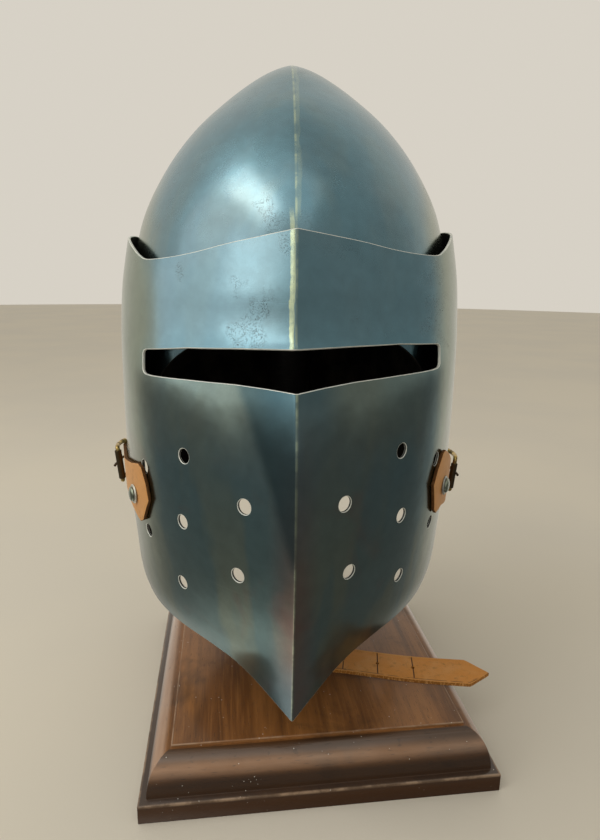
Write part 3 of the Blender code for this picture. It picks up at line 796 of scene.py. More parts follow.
class BascinetColours(bpy.types.PropertyGroup):
    """Colours of the finishes."""

    teal: tint("Teal", "Main heat tint of the steel", (0.13, 0.272, 0.345))
    slate: tint("Slate", "Greyer heat tint of the steel", (0.2, 0.265, 0.29))
    spruce: tint("Spruce", "Heat tint of the visor's lower half", (0.17, 0.255, 0.245))
    olive: tint("Olive", "Greenish heat tint at the sides", (0.28, 0.315, 0.235))
    plum: tint("Plum", "Brown heat tint of the steel", (0.27, 0.185, 0.165))
    # Painted shade: this dark blue on the flat faces below the slit stands in for their dark reflection.
    painted_shade_blue: tint("Deep", "Darkest blue, on the flat faces below the slit", (0.02, 0.065, 0.085))
    straw: tint("Straw", "Pale tint where the ridges are worn", (0.55, 0.66, 0.46))
    bare: tint("Bare", "Bare steel at cut edges", (0.62, 0.6, 0.52))
    # Painted shade inside the helmet and on the breaths' walls, and the colour of the pits in the steel.
    pits_and_shade: tint("Hollow", "Blackened inside of the steel", (0.008, 0.009, 0.01))
    brass: tint("Brass", "Rubbed brass", (0.6, 0.43, 0.15))
    tarnish: tint("Tarnish", "Dark old brass", (0.085, 0.062, 0.034))
    tan: tint("Tan", "Main colour of the leather", (0.62, 0.25, 0.036))
    tan_pale: tint("Pale tan", "Rubbed leather", (0.66, 0.35, 0.12))
    tan_dry: tint("Dry tan", "Paler, drier leather of the tabs", (0.5, 0.34, 0.19))
    tan_dark: tint("Dark tan", "Cut and scored leather", (0.04, 0.015, 0.007))
    walnut: tint("Walnut", "Main colour of the plinth", (0.135, 0.05, 0.011))
    walnut_pale: tint("Pale walnut", "Light grain of the plinth", (0.33, 0.14, 0.038))
    # Also the colour of the painted shade on the plinth's foot, low on the ovolo and under the front lip.
    walnut_dark: tint("Dark walnut", "Dark grain of the plinth", (0.02, 0.009, 0.004))
    # Painted sheen: this pale colour on the upper ovolo stands in for its satin reflection.
    sheen: tint("Wax", "Old wax and dust on top of the moulding", (0.46, 0.32, 0.23))
    # Painted shade: the post is black because it stands in the dark inside of the helmet, where nothing
    # lights it.
    paint: tint("Paint", "Black paint of the post", (0.012, 0.012, 0.012))
    # Partly real wear, partly painted highlight: the pale arrises and fillet stand in for the light they
    # catch.
    worn: tint("Worn wood", "Arrises of the plinth that are rubbed through", (0.42, 0.29, 0.19))
    dust: tint("Dust", "Specks on the plinth", (0.8, 0.77, 0.7))
    polished: tint("Polished", "Steel where the visor's edges are rubbed", (0.78, 0.82, 0.78))
    # Part of the painted shade inside the helmet.
    inside_shade_brown: tint("Soot", "Browner places of the blackened inside", (0.03, 0.029, 0.026))
    paint_worn: tint("Worn paint", "Thin places of the black paint", (0.03, 0.028, 0.026))
    floor: tint("Floor", "Studio floor", (0.7, 0.655, 0.56))
    floor_shade: tint("Floor shade", "Darker clouds of the studio floor", (0.57, 0.555, 0.52))


def sizes_of(context):
    return context.scene.bascinet_sizes


def colours_of(context):
    return context.scene.bascinet_colours


def blued_steel(colours, name):
    """Steel coloured by heat: bands of tint, worn ridges, fine scratches and patches of marks, with painted
    shade below the slit.
    """
    steel = Finish(name, metallic=1.0, coat=0.6, coat_roughness=0.17, coat_ior=1.85)
    spot = steel.place
    x, y, z = steel.parts(spot)
    side = abs(x)
    clouds = steel.noise(steel.along(spot, scale=(1, 1, 0.6)), 11, 3, 0.5, 0.4)
    drift = steel.noise(steel.along(spot, shift=(0.3, 0.1, 0)), 26, 4, 0.55, 0.6)
    bands = steel.noise(steel.along(spot, shift=(0.6, 0, 0), scale=(1, 1, 0.25)), 34, 3, 0.5, 0.3)
    plum = steel.noise(steel.along(spot, shift=(0, 0.4, 0.2)), 17, 4, 0.6, 0.8)
    mottle = steel.noise(spot, 120, 4, 0.6, 0.2)
    low, front, keeled = z.falling(0.13, 0.27), y.falling(-0.11, -0.07), y.falling(0.016, 0.03)
    over_slit, under_slit, above_brow = z.rising(0.262, 0.27), z.falling(0.262, 0.266), z.rising(0.335, 0.345)
    outer = (side + 0.03 * (clouds - 0.5)).rising(0.074, 0.092)
    near_ridge = side.falling(0.001, 0.016) * front * low
    brow_blue = over_slit * z.falling(0.318, 0.338) * side.falling(0.06, 0.088) * front
    chin = z.falling(0.075, 0.115) * side.falling(0.012, 0.045) * x.falling(-0.002, 0.002) * front
    # Painted shade: below the slit beside the ridge the steel is darkened to stand in for its dark
    # reflection.
    slit_shade = z.rising(0.222, 0.256) * side.falling(0.03, 0.075) * front * under_slit
    # Beside the ridge below the slit, olive is laid partly as heat tint and partly as a painted lighter
    # reflection.
    beside = side.rising(0.006, 0.03) * z.rising(0.2, 0.24) * under_slit * front
    keel_edge = (z - KEEL_FOOT) * KEEL_TAPER + 0.006 * (drift - 0.5)
    # Painted shade: the flat face left of the ridge below the slit is darkened to stand in for its dark
    # reflection.
    facet_shade = (keel_edge - side).rising(0.002, 0.009) * x.falling(-0.001, 0.0) * front * under_slit
    ragged = 0.004 * (drift - 0.5) + 0.003 * (mottle - 0.5)
    crown = abs(x - 0.0018 + ragged).falling(0.0007, 0.0014) * above_brow * keeled * 0.22
    brow = abs(x + 0.0020 + 0.8 * ragged).falling(0.0009, 0.0016) * over_slit * front * (1 - above_brow)
    line = side.falling(0.0003, 0.0009) * (0.3 + 0.15 * above_brow) * (0.4 + mottle.rising(0.4, 0.6)) * keeled
    pale = crown.or_more(brow) * (0.55 + 0.45 * mottle.rising(0.3, 0.6))
    colour = steel.layered(
        colours.teal,
        (clouds.rising(0.42, 0.68) * 0.5, colours.slate),
        (low * (0.6 + 0.4 * drift), colours.spruce),
        (bands.rising(0.46, 0.62) * (0.12 + 0.45 * low), colours.olive),
        (outer * 0.85, colours.olive),
        (plum.rising(0.52, 0.7) * (0.05 + 0.45 * low), colours.plum),
        (near_ridge * (0.2 + plum), colours.plum),
        (brow_blue * (0.35 + 0.35 * x.rising(-0.002, 0.004)), colours.teal),
        (chin * 0.6, colours.teal),
        # The next three layers are painted: shade below the slit and on the left flat face, and olive beside
        # the ridge.
        (slit_shade * 0.6, colours.painted_shade_blue),
        (beside * 0.45, colours.olive),
        (facet_shade * 0.65, colours.painted_shade_blue),
        (pale.or_more(line), colours.straw),
    )
    shade = steel.mixed(mottle, (0.82, 0.82, 0.82), (1.18, 1.18, 1.18))
    colour = steel.mixed(1.0, colour, shade, "MULTIPLY")
    patch = steel.noise(steel.along(spot, shift=(0.7, 0.2, 0.1)), 30, 3, 0.6).rising(0.58, 0.66)
    marks = abs(steel.noise(spot, 330, 2, 0.5, 1.5) - 0.5).falling(0.004, 0.016) * patch * over_slit
    colour = steel.mixed(marks * 0.42, colour, colours.pits_and_shade)
    fine = steel.noise(spot, 900, 3, 0.6)
    brushed = steel.along(spot, turn=(0, math.radians(38), 0), scale=(60, 60, 2200))
    scratched = steel.along(spot, turn=(0, math.radians(-50), 0), scale=(9, 9, 700))
    lines = steel.noise(scratched, 1.0, 1, 0.5).rising(0.7, 0.76)
    smudges = steel.noise(steel.along(spot, shift=(0.1, 0.5, 0.3)), 45, 4, 0.6, 0.5)
    steel.feed("Coat Weight", 0.08 + 0.2 * z.rising(0.262, 0.29) + 0.15 * smudges)
    satin = 0.15 + 0.1 * smudges + 0.07 * z.rising(0.27, 0.34)
    roughness = satin + 0.04 * (fine - 0.5) + 0.1 * marks - 0.05 * pale
    planished = steel.relief(steel.noise(steel.along(spot, shift=(0.2, 0.2, 0.9)), 42, 2, 0.4), 0.3)
    surface = fine * 0.5 + steel.noise(brushed, 1.0, 2) * 0.3 + mottle * 0.2 - marks * 2 - lines * 0.4
    return steel.done(colour, roughness, surface, 0.02, planished)


def inside_shade_steel(colours, name):
    """Painted shade for the inside of the steel: matt and near black, standing in for the dark inside of the
    helmet.
    """
    steel = Finish(name, specular=0.08)
    shade_mottle = steel.noise(steel.place, 40, 4, 0.6)
    colour = steel.mixed(shade_mottle.rising(0.4, 0.7), colours.pits_and_shade, colours.inside_shade_brown)
    return steel.done(colour, 0.8 + 0.2 * shade_mottle, steel.noise(steel.place, 300, 3), 0.05)


def bare_steel(colours, name, metallic=0.8, bright=0.0, shaded_breaths=False):
    """Filed steel with what is left of the bluing in its low places. It can be rubbed bright by an amount,
    and a flag darkens the walls of the breaths with painted shade."""
    steel = Finish(name, metallic=metallic)
    rub = steel.noise(steel.place, 160, 4, 0.6)
    layers = [(rub.rising(0.35, 0.68), colours.slate), (bright, colours.polished)]
    if shaded_breaths:
        level = (steel.parts(steel.place)[2] - PLINTH_TOP) / MM
        layers.append((level.rising(*BREATH_SHADE_FROM) * level.falling(*BREATH_SHADE_TO) * 0.93, colours.pits_and_shade))
    colour = steel.layered(colours.bare, *layers)
    return steel.done(colour, 0.38 + 0.2 * rub, steel.noise(steel.place, 1400, 2), 0.01)


def old_brass(colours, name, wear):
    """Brass that is dark with age and rubbed bright where it is touched."""
    brass = Finish(name, metallic=1.0)
    rubbed = brass.noise(brass.place, 260, 5, 0.65, 0.3).rising(0.62 - wear, 0.9 - wear)
    colour = brass.mixed(rubbed, colours.tarnish, colours.brass)
    return brass.done(colour, 0.5 - 0.24 * rubbed, brass.noise(brass.place, 1600, 3), 0.015)


def leather_base(leather, colours, place):
    """Colour, height and blotches of vegetable-tanned leather: pores, creases and uneven dye."""
    dye = leather.noise(place, 45, 4, 0.6, 0.4)
    blotch = leather.noise(place, 210, 4, 0.65)
    pores = leather.cells(place, 1500).falling(0.08, 0.3) * leather.noise(place, 130, 2).rising(0.42, 0.6)
    colour = leather.layered(
        colours.tan,
        (dye.rising(0.4, 0.8) * 0.7, colours.tan_pale),
        (blotch.rising(0.52, 0.74) * 0.35, colours.tan_dark),
        (pores * 0.5, colours.tan_dark),
    )
    return colour, 0.6 * leather.cells(place, 1100) + 0.4 * blotch - 0.8 * pores, blotch


def tab_leather(colours, name):
    """The tabs' grain side."""
    leather = Finish(name, specular=0.4)
    colour, height, blotch = leather_base(leather, colours, leather.place)
    return leather.done(leather.mixed(0.35, colour, colours.tan_dry), 0.44 + 0.2 * blotch, height, 0.09)


def cut_leather(colours, name, dark=0.0):
    """Leather cut through, with pale fibres, or darkened by an amount."""
    leather = Finish(name, specular=0.2)
    fibres = leather.noise(leather.along(leather.place, scale=(1, 1, 0.4)), 900, 4, 0.7)
    colour = leather.layered(
        colours.tan_dark,
        (0.45, colours.tan),
        (fibres.rising(0.45, 0.7), colours.tan_pale),
        (dark, colours.tan_dark),
    )
    return leather.done(colour, 0.8 + 0.15 * fibres, fibres, 0.15)


def strap_leather(colours, name, width):
    """The strap's grain side: scored lines across it at the holes and one along its lower edge."""
    leather = Finish(name, specular=0.35)
    laid = leather.node("ShaderNodeTexCoord", output="UV")
    colour, height, blotch = leather_base(leather, colours, laid)
    along, across, _ = leather.parts(laid)
    waver = leather.noise(leather.along(laid, scale=(60, 60, 1)), 1.0, 2) * 0.0008
    scored = 0
    for hole in STRAP_HOLES:
        line = abs(along - strap_run(hole) * MM + waver - 0.0004).falling(0.00015, 0.0006)
        scored = line.or_more(scored)
    scored = scored * abs(across).falling(width * 0.42, width * 0.46)
    edge_line = abs(across + width / 2 - 0.0016 + waver * 0.3).falling(0.0001, 0.0004)
    gaps = leather.noise(leather.along(laid, scale=(90, 0, 1)), 1.0, 3).rising(0.4, 0.52)
    grooves = scored.or_more(edge_line * gaps * 0.8)
    raw = abs(across).rising(width / 2 - 0.0012, width / 2 - 0.0003)
    colour = leather.layered(colour, (raw * 0.3, colours.tan_pale), (grooves * 0.92, colours.tan_dark))
    return leather.done(colour, 0.46 + 0.2 * blotch + 0.2 * grooves, height - 4 * grooves, 0.1)


def walnut(colours, name):
    """Stained and waxed walnut, whose grain runs along the UV map's U. It carries painted shade on the foot,
    low on the ovolo and under the front lip, a painted sheen on the upper ovolo, and arrises paled partly by
    wear and partly as painted highlight.
    """
    wood = Finish(name, specular=0.3, coat=0.75, coat_roughness=0.18)
    laid = wood.node("ShaderNodeTexCoord", output="UV")
    figure = wood.noise(wood.along(laid, scale=(4, 30, 1)), 1.0, 4, 0.55, 0.8)
    grain = wood.noise(wood.along(laid, scale=(22, 520, 1)), 1.0, 4, 0.6, 0.3)
    streaks = wood.noise(wood.along(laid, shift=(3, 1, 0), scale=(9, 150, 1)), 1.0, 3, 0.5)
    pores = wood.noise(wood.along(laid, scale=(160, 2600, 1)), 1.0, 2, 0.5).rising(0.62, 0.7)
    smudge = wood.noise(wood.place, 22, 4, 0.6, 0.5)
    centred = wood.along(wood.place, shift=(-PLINTH_CENTRE[0] * MM, -PLINTH_CENTRE[1] * MM, 0))
    across, back, height = wood.parts(wood.along(centred, turn=(0, 0, -PLINTH_TURN)))
    down = PLINTH_TOP - height
    outer = abs(across).or_more(abs(back))
    over = outer - (PLINTH_WIDTH / 2 - PLINTH_FOOT) * MM
    arris = abs(over).falling(0.0002, 0.0011) * down.falling(0, 0.0012)
    foot = abs(outer - PLINTH_WIDTH / 2 * MM).falling(0.0003, 0.0016)
    fillet = foot * abs(down - PLINTH_OVOLO[1] * MM).falling(0.0005, 0.002)
    shadow = down.rising(0.006, 0.017) * over.rising(0, 0.004)
    # Painted sheen: the upper ovolo is paled with wax colour to stand in for its satin reflection.
    painted_sheen = down.falling(0.008, 0.014) * over.rising(0.002, 0.005)
    front = (-1 * back - abs(across)).rising(0, 0.0006)
    # Painted shade: the front moulding is darkened just under the lip, on the front only.
    brink = over.rising(0.0008, 0.002) * down.falling(0.003, 0.008) * front
    rub = wood.noise(wood.place, 75, 4, 0.65).rising(0.4, 0.6)
    # Partly real wear, partly painted highlight: the arrises and the fillet are made paler, standing in for
    # the light they catch as well as rubbing.
    worn = arris.or_more(fillet) * (0.3 + 0.7 * rub)
    dust = wood.cells(wood.place, 260).falling(0.05, 0.085) * wood.noise(wood.place, 60, 2).rising(0.5, 0.56)
    # Painted shade: the lower foot is mixed to walnut and then to dark walnut, darker towards the bottom.
    shaded_foot = height.falling(0.006, 0.0125)
    colour = wood.layered(
        colours.walnut,
        (figure.rising(0.34, 0.68), colours.walnut_pale),
        (streaks.rising(0.5, 0.72) * 0.34, colours.walnut_dark),
        (grain.rising(0.45, 0.75) * 0.5, colours.walnut_pale),
        (pores * 0.65, colours.walnut_dark),
        (smudge.rising(0.54, 0.74) * 0.5, colours.walnut_dark),
        (shadow * 0.9, colours.walnut_dark),
        # Painted sheen on the upper ovolo.
        (painted_sheen * (0.16 + 0.9 * grain * smudge), colours.sheen),
        # Painted shade under the front lip.
        (brink * 0.75, colours.walnut_dark),
        (worn * 0.75, colours.worn),
        (dust * 0.9, colours.dust),
        # Painted shade on the lower foot.
        (shaded_foot * 0.55, colours.walnut),
        (shaded_foot * 0.45, colours.walnut_dark),
    )
    moulded = down.rising(0.0015, 0.004)
    wood.feed("Coat Weight", 0.45 + 0.55 * moulded - 0.85 * shaded_foot)
    roughness = 0.36 + 0.2 * smudge + 0.14 * pores + 0.2 * dust + 0.2 * worn
    return wood.done(colour, roughness, 0.5 * grain + 0.3 * figure - 0.9 * pores, 0.09)


def black_paint(colours, name):
    """Satin black over turned wood: painted shade, as the post stands in the dark inside of the helmet."""
    paint = Finish(name, specular=0.35)
    brush = paint.noise(paint.along(paint.place, scale=(1, 1, 6)), 120, 3, 0.5)
    colour = paint.mixed(brush.rising(0.5, 0.75), colours.paint, colours.paint_worn)
    return paint.done(colour, 0.42 + 0.2 * brush, brush, 0.06)


def plain_floor(colours, name):
    """The studio floor: matt and very slightly uneven."""
    floor = Finish(name, specular=0.2)
    cloud = floor.noise(floor.place, 3, 3).rising(0.3, 0.7)
    colour = floor.mixed(cloud * 0.25, colours.floor, colours.floor_shade)
    return floor.done(colour, 0.85, floor.noise(floor.place, 500, 2), 0.05)


def strap_run(x):
    """How far along the strap, in millimetres, its middle line reaches this X on its way out."""
    route = lofted(STRAP_ROUTE)
    run = run_of(route)
    return float(np.interp(x, route[:, 0], run))


class BASCINET_OT_skull(bpy.types.Operator):
    """Raises the pointed skull, with its face opening"""

    bl_idname = "bascinet.skull"
    bl_label = "Skull"

    def execute(self, context):
        sizes, colours = sizes_of(context), colours_of(context)
        shell = flat_sheet(SKULL_COLUMNS, SKULL_ROWS, SKULL_SPREAD, skull_level)
        arch = arc((0, FACE_SPRING), (FACE_HALF_WIDTH, FACE_ARCH), math.pi / 2, 0, ARCH_STEPS)
        foot = FACE_SPRING
        for _ in range(8):
            share = share_at(skull_outline(foot), FACE_HALF_WIDTH)
            foot = level_of(RIM_LOFT, share)
        arch.append((FACE_HALF_WIDTH, foot))
        track = [(share_at(skull_outline(z), x) * SKULL_SPREAD, z) for x, z in spaced(arch, ARCH_STEP)]
        below = ((track[-1][0], 0), (0, 0))
        pierced(shell, track, beyond=below)
        raised(shell, SKULL_SPREAD, skull_outline)
        shell.transform(HUNG)
        steel = blued_steel(colours, "blued_steel_skull")
        # The skull's inside and cut edge are painted shade: near black, standing in for the dark inside of
        # the helmet.
        inner, edge = inside_shade_steel(colours, "skull_inside_shade"), inside_shade_steel(colours, "skull_edge_shade")
        skull = finished("skull_shell", shell, (steel, inner, edge), ("skull",), 0)
        walled(skull, sizes.plate, 1, 2)
        eased(skull, sizes.plate_edge)
        return {"FINISHED"}


class BASCINET_OT_visor(bpy.types.Operator):
    """Raises the ridged visor, with its eye slit and breaths"""

    bl_idname = "bascinet.visor"
    bl_label = "Visor"

    def execute(self, context):
        sizes, colours = sizes_of(context), colours_of(context)
        shell = flat_sheet(VISOR_COLUMNS, VISOR_ROWS, VISOR_SPREAD, visor_level)
        slit = [(share_at(visor_outline(z), x) * VISOR_SPREAD, z) for x, z in spaced(SLIT, SLIT_STEP)]
        pierced(shell, slit, beyond=())
        radius = sizes.breath / MM / 2
        for x, level in BREATHS:
            outline = visor_outline(level)
            middle = share_at(outline, x) * VISOR_SPREAD
            wide = radius * VISOR_SPREAD / run_of(outline)[-1]
            pierced(shell, arc((middle, level), (wide, radius), 0, math.tau, BREATH_STEPS, whole=True))
        raised(shell, VISOR_SPREAD, visor_outline)
        ridge = [e for e in shell.edges if max(abs(v.co.x) for v in e.verts) < MERGE]
        bevelled(shell, ridge, sizes.ridge, 3)
        shell.transform(HUNG)
        steel = blued_steel(colours, "blued_steel_visor")
        # The visor's inside is painted shade: near black, standing in for the dark inside of the helmet.
        inner = inside_shade_steel(colours, "visor_inside_shade")
        # The cut edges' material paints shade on the walls of the breaths.
        cut = bare_steel(colours, "visor_cut", metallic=0.3, bright=0.6, shaded_breaths=True)
        edge = bare_steel(colours, "visor_edge", metallic=0.3, bright=0.7)
        visor = finished("visor_shell", shell, (steel, inner, cut, edge), ("visor",), 0)
        walled(visor, sizes.plate, 1, 2)
        eased(visor, sizes.plate_edge, material=3)
        return {"FINISHED"}


def tab_spot(y, level):
    """Where a tab's inner face lies, and the outward direction, at this Y and level."""
    spot, out = visor_side(level, min(y, TAB_LEAVES))
    if y > TAB_LEAVES:
        spot = spot + Vector((TAB_SLOPE, 1, 0)) * (y - TAB_LEAVES) * MM
        out = Vector((1, -TAB_SLOPE, 0)).normalized()
    return spot + out * TAB_CLEARANCE * MM, out


def tab_head(buckle_level):
    """A tab head's outline, turned on its rivet towards the buckle."""
    rivet_y, rivet_level = TAB_RIVET
    turn = (buckle_level - TAB_LEVEL) / TAB_REACH
    outline = []
    for y, level in TAB:
        ahead, above = y - rivet_y, level - rivet_level
        outline.append((rivet_y + ahead - above * turn, rivet_level + above + ahead * turn))
    return outline


def tab_shell(buckle_level, thickness):
    """Leather cut to a tab's outline, its edges eased, and bent round the visor's side."""
    head = tab_head(buckle_level)
    low, high = buckle_level - NECK_HALF_WIDTH, buckle_level + NECK_HALF_WIDTH
    neck = [(NECK_BOTTOM_START, low), (NECK_END, low), (NECK_END, high), (NECK_TOP_START, high)]
    shell = bmesh.new()
    verts = [shell.verts.new((y * MM, level * MM, 0)) for y, level in head + neck]
    face = shell.faces.new(verts)
    moved = bmesh.ops.extrude_face_region(shell, geom=[face])["geom"]
    tops = [item for item in moved if isinstance(item, bmesh.types.BMVert)]
    bmesh.ops.translate(shell, vec=(0, 0, thickness), verts=tops)
    facing_out(shell)
    brink = []
    for edge in shell.edges:
        flats = [abs(near.normal.z) > HALF_LEVEL for near in edge.link_faces]
        if any(flats) and not all(flats):
            brink.append(edge)
    bevelled(shell, brink, LEATHER_EASE, 2)
    for near in shell.faces:
        near.material_index = 0 if abs(near.normal.z) > GRAIN_SIDE else 1
    for axis in (0, 1):
        reach = [vertex.co[axis] for vertex in shell.verts]
        normal = [float(axis == 0), float(axis == 1), 0]
        for step in range(1, int((max(reach) - min(reach)) / MM / TAB_BEND) + 1):
            bmesh.ops.bisect_plane(
                shell,
                geom=shell.verts[:] + shell.edges[:] + shell.faces[:],
                dist=0.001 * MM,
                plane_co=[part * (min(reach) + step * TAB_BEND * MM) for part in normal],
                plane_no=normal,
            )
    bmesh.ops.triangulate(shell, faces=[face for face in shell.faces if len(face.verts) > 4])
    for vertex in shell.verts:
        spot, out = tab_spot(vertex.co.x / MM, vertex.co.y / MM)
        vertex.co = spot + out * vertex.co.z
    facing_out(shell)
    return shell


class BASCINET_OT_tabs(bpy.types.Operator):
    """Cuts the two leather tabs and sets their washers and rivets"""

    bl_idname = "bascinet.tabs"
    bl_label = "Tabs and rivets"

    def execute(self, context):
        sizes, colours = sizes_of(context), colours_of(context)
        # The tabs' cut edges are darkened almost to black: partly a dark cut edge, partly painted shade along
        # the edges.
        leather, cut = tab_leather(colours, "tab_leather"), cut_leather(colours, "tab_edge", dark=0.8)
        bright, dark = bare_steel(colours, "washer_steel"), blued_steel(colours, "rivet_steel")
        curve = arc((0, RIVET_BRIM), (RIVET_RADIUS, RIVET_RISE - RIVET_BRIM), 0, math.pi / 2, DOME_STEPS)
        dome = [(0, 0), (RIVET_RADIUS, 0), *curve]
        rim = [(WASHER_RADIUS - inwards, rise) for inwards, rise in WASHER_EASE]
        washer = [(0, 0), (WASHER_RADIUS, 0), *rim, (0, WASHER_THICKNESS)]
        for side_name, side, buckle_level, _ in SIDES:
            name = side_name + "_tab"
            shell = sided(tab_shell(buckle_level, sizes.tab_leather), side)
            finished(name + "_leather", shell, (leather, cut), (name,), 40)
            spot, out = tab_spot(*TAB_RIVET)
            spot = spot + out * (sizes.tab_leather + 2 * GAP * MM)
            shell = sided(turned(washer, RIVET_STEPS), side, frame_on(spot, out))
            finished(name + "_ring", shell, (bright,), (name + "_washer",), 30)
            spot = spot + out * (WASHER_THICKNESS + GAP) * MM
            shell = sided(turned(dome, RIVET_STEPS), side, frame_on(spot, out))
            finished(name + "_dome", shell, (dark,), (name + "_rivet",), 50)
        return {"FINISHED"}


def buckle_frame(buckle_level):
    """The matrix of the +X buckle: X back from its front bar, Y out from the visor and Z up."""
    x, y = BUCKLE_FRONT
    back = Vector((-BUCKLE_TURN_IN, 1, 0)).normalized()
    out = Vector((back.y, -back.x, 0))
    turn = Matrix((back, out, (0, 0, 1))).transposed().to_4x4()
    lean = Matrix.Rotation(-BUCKLE_LEAN, 4, "X")
    return Matrix.Translation(place(x, y, buckle_level)) @ turn @ lean


def buckle_ring():
    """The middle line of a buckle's frame, in metres: a rounded oblong with bowed arms."""
    corner, quarter = BUCKLE_CORNER, math.pi / 2
    rise = BUCKLE_HEIGHT / 2 - corner
    rear = BUCKLE_LENGTH - corner
    centres = ((corner, rise), (corner, -rise), (rear, -rise), (rear, rise))
    outline = []
    for number, centre in enumerate(centres, 1):
        outline += arc(centre, (corner, corner), number * quarter, (number + 1) * quarter, CORNER_STEPS)
    outline.append(outline[0])
    ring = []
    for along, up in spaced(outline, RING_STEP)[:-1]:
        lift = BUCKLE_BOW * math.sin(math.pi * along / BUCKLE_LENGTH)
        ring.append(Vector((along, lift, up)) * MM)
    return ring


class BASCINET_OT_buckles(bpy.types.Operator):
    """Bends the two buckles, each with its roller and tongue"""

    bl_idname = "bascinet.buckles"
    bl_label = "Buckles"

    def execute(self, context):
        colours = colours_of(context)
        brass = old_brass(colours, "rubbed_brass", 0.3)
        dark = old_brass(colours, "tarnished_brass", -0.08)
        inner, foot = BUCKLE_WIRE + GAP, BUCKLE_CORNER - BUCKLE_HEIGHT / 2
        bar, ease = ROLLER_RADIUS, ROLLER_EASE
        rear, over = BUCKLE_LENGTH - TONGUE_RADIUS, ROLLER_RADIUS + TONGUE_RADIUS + GAP
        route = [(rear * back, over * lift) for back, lift in TONGUE]
        route.append((-over * TONGUE_END[0], over * TONGUE_END[1]))
        line = [Vector((along, lift, 0)) * MM for along, lift in lofted(route, 6)]
        slim = np.linspace(TONGUE_RADIUS, TONGUE_RADIUS * TONGUE_TAPER, len(line) - 2)
        ring = buckle_ring()
        for side_name, side, buckle_level, roller in SIDES:
            matrix = buckle_frame(buckle_level)
            name = side_name + "_buckle"
            shell = swept(ring, [BUCKLE_WIRE] * len(ring), WIRE_STEPS, Vector((0, 1, 0)), closed=True)
            sided(shell, side, matrix)
            finished(name + "_loop", shell, (brass,), (name + "_frame",), 0)
            head = foot + roller
            lower = [(inner, foot), (bar - ease, foot), (bar, foot + ease)]
            upper = [(bar, head - ease), (bar - ease, head), (inner, head), (inner, foot)]
            shell = sided(turned(lower + upper, ROLLER_STEPS), side, matrix)
            finished(name + "_roll", shell, (dark,), (name + "_roller",), 40)
            shell = swept(line, [TONGUE_BUTT, *slim, TONGUE_TIP], TONGUE_STEPS, Vector((0, 0, 1)))
            sided(shell, side, matrix)
            finished(name + "_prong", shell, (dark,), (name + "_tongue",), 50)
        return {"FINISHED"}


class BASCINET_OT_strap(bpy.types.Operator):
    """Cuts the chin strap and lays it from inside the skull over the plinth"""

    bl_idname = "bascinet.strap"
    bl_label = "Strap"

    def execute(self, context):
        sizes, colours = sizes_of(context), colours_of(context)
        route = lofted(STRAP_ROUTE)
        run = run_of(route)
        length, half = run[-1], sizes.strap_width / MM / 2
        shell = bmesh.new()
        bmesh.ops.create_grid(shell, x_segments=STRAP_COLUMNS, y_segments=STRAP_ROWS, size=0.5)
        for vertex in shell.verts:
            vertex.co = ((vertex.co.x + 0.5) * length, vertex.co.y * 2 * half, 0)
        radius = sizes.strap_hole / MM / 2
        for x in STRAP_HOLES:
            ring = arc((strap_run(x), 0), (radius, radius), 0, math.tau, STRAP_HOLE_STEPS, whole=True)
            pierced(shell, ring, margin=0.7)
        laid = shell.loops.layers.uv.new("UVMap")
        for face in shell.faces:
            for loop in face.loops:
                loop[laid].uv = loop.vert.co.xy * MM
        for vertex in shell.verts:
            along, across = vertex.co.xy
            here = [np.interp(along, run, route[:, k]) for k in range(3)]
            near = [np.interp([along - 1, along + 1], run, route[:, k]) for k in range(3)]
            ahead = Vector([part[1] - part[0] for part in near]).normalized()
            side = (Vector((0, 1, 0)) - ahead * ahead.y).normalized()
            taper = min(1, (length - along) / STRAP_POINT)
            vertex.co = place(*here) + side * across * taper * MM
        bmesh.ops.remove_doubles(shell, verts=shell.verts, dist=MERGE)
        bmesh.ops.recalc_face_normals(shell, faces=shell.faces)
        middle = [face for face in shell.faces if face.calc_center_median().x > 0]
        if sum(face.normal.z for face in middle) < 0:
            bmesh.ops.reverse_faces(shell, faces=shell.faces)
        grain = strap_leather(colours, "strap_leather", sizes.strap_width)
        cut = cut_leather(colours, "strap_edge")
        strap = finished("strap_leather", shell, (grain, cut), ("strap",), 0)
        walled(strap, sizes.strap_leather, 1, 1, offset=0)
        eased(strap, sizes.strap_edge)
        strap.visible_glossy = False
        return {"FINISHED"}


class BASCINET_OT_post(bpy.types.Operator):
    """Turns the post that holds the helmet up"""

    bl_idname = "bascinet.post"
    bl_label = "Post"

    def execute(self, context):
        shell = turned(POST, POST_STEPS)
        rings = [edge for edge in shell.edges if edge.calc_face_angle(0) > POST_RING]
        bevelled(shell, rings, POST_EASE, 3)
        shell.transform(Matrix.Translation((0, POST_Y * MM, PLINTH_TOP)))
        # The post is painted shade: black because it stands in the dark inside of the helmet.
        paint = black_paint(colours_of(context), "black_paint")
        finished("post_turning", shell, (paint,), ("post",), 45)
        return {"FINISHED"}


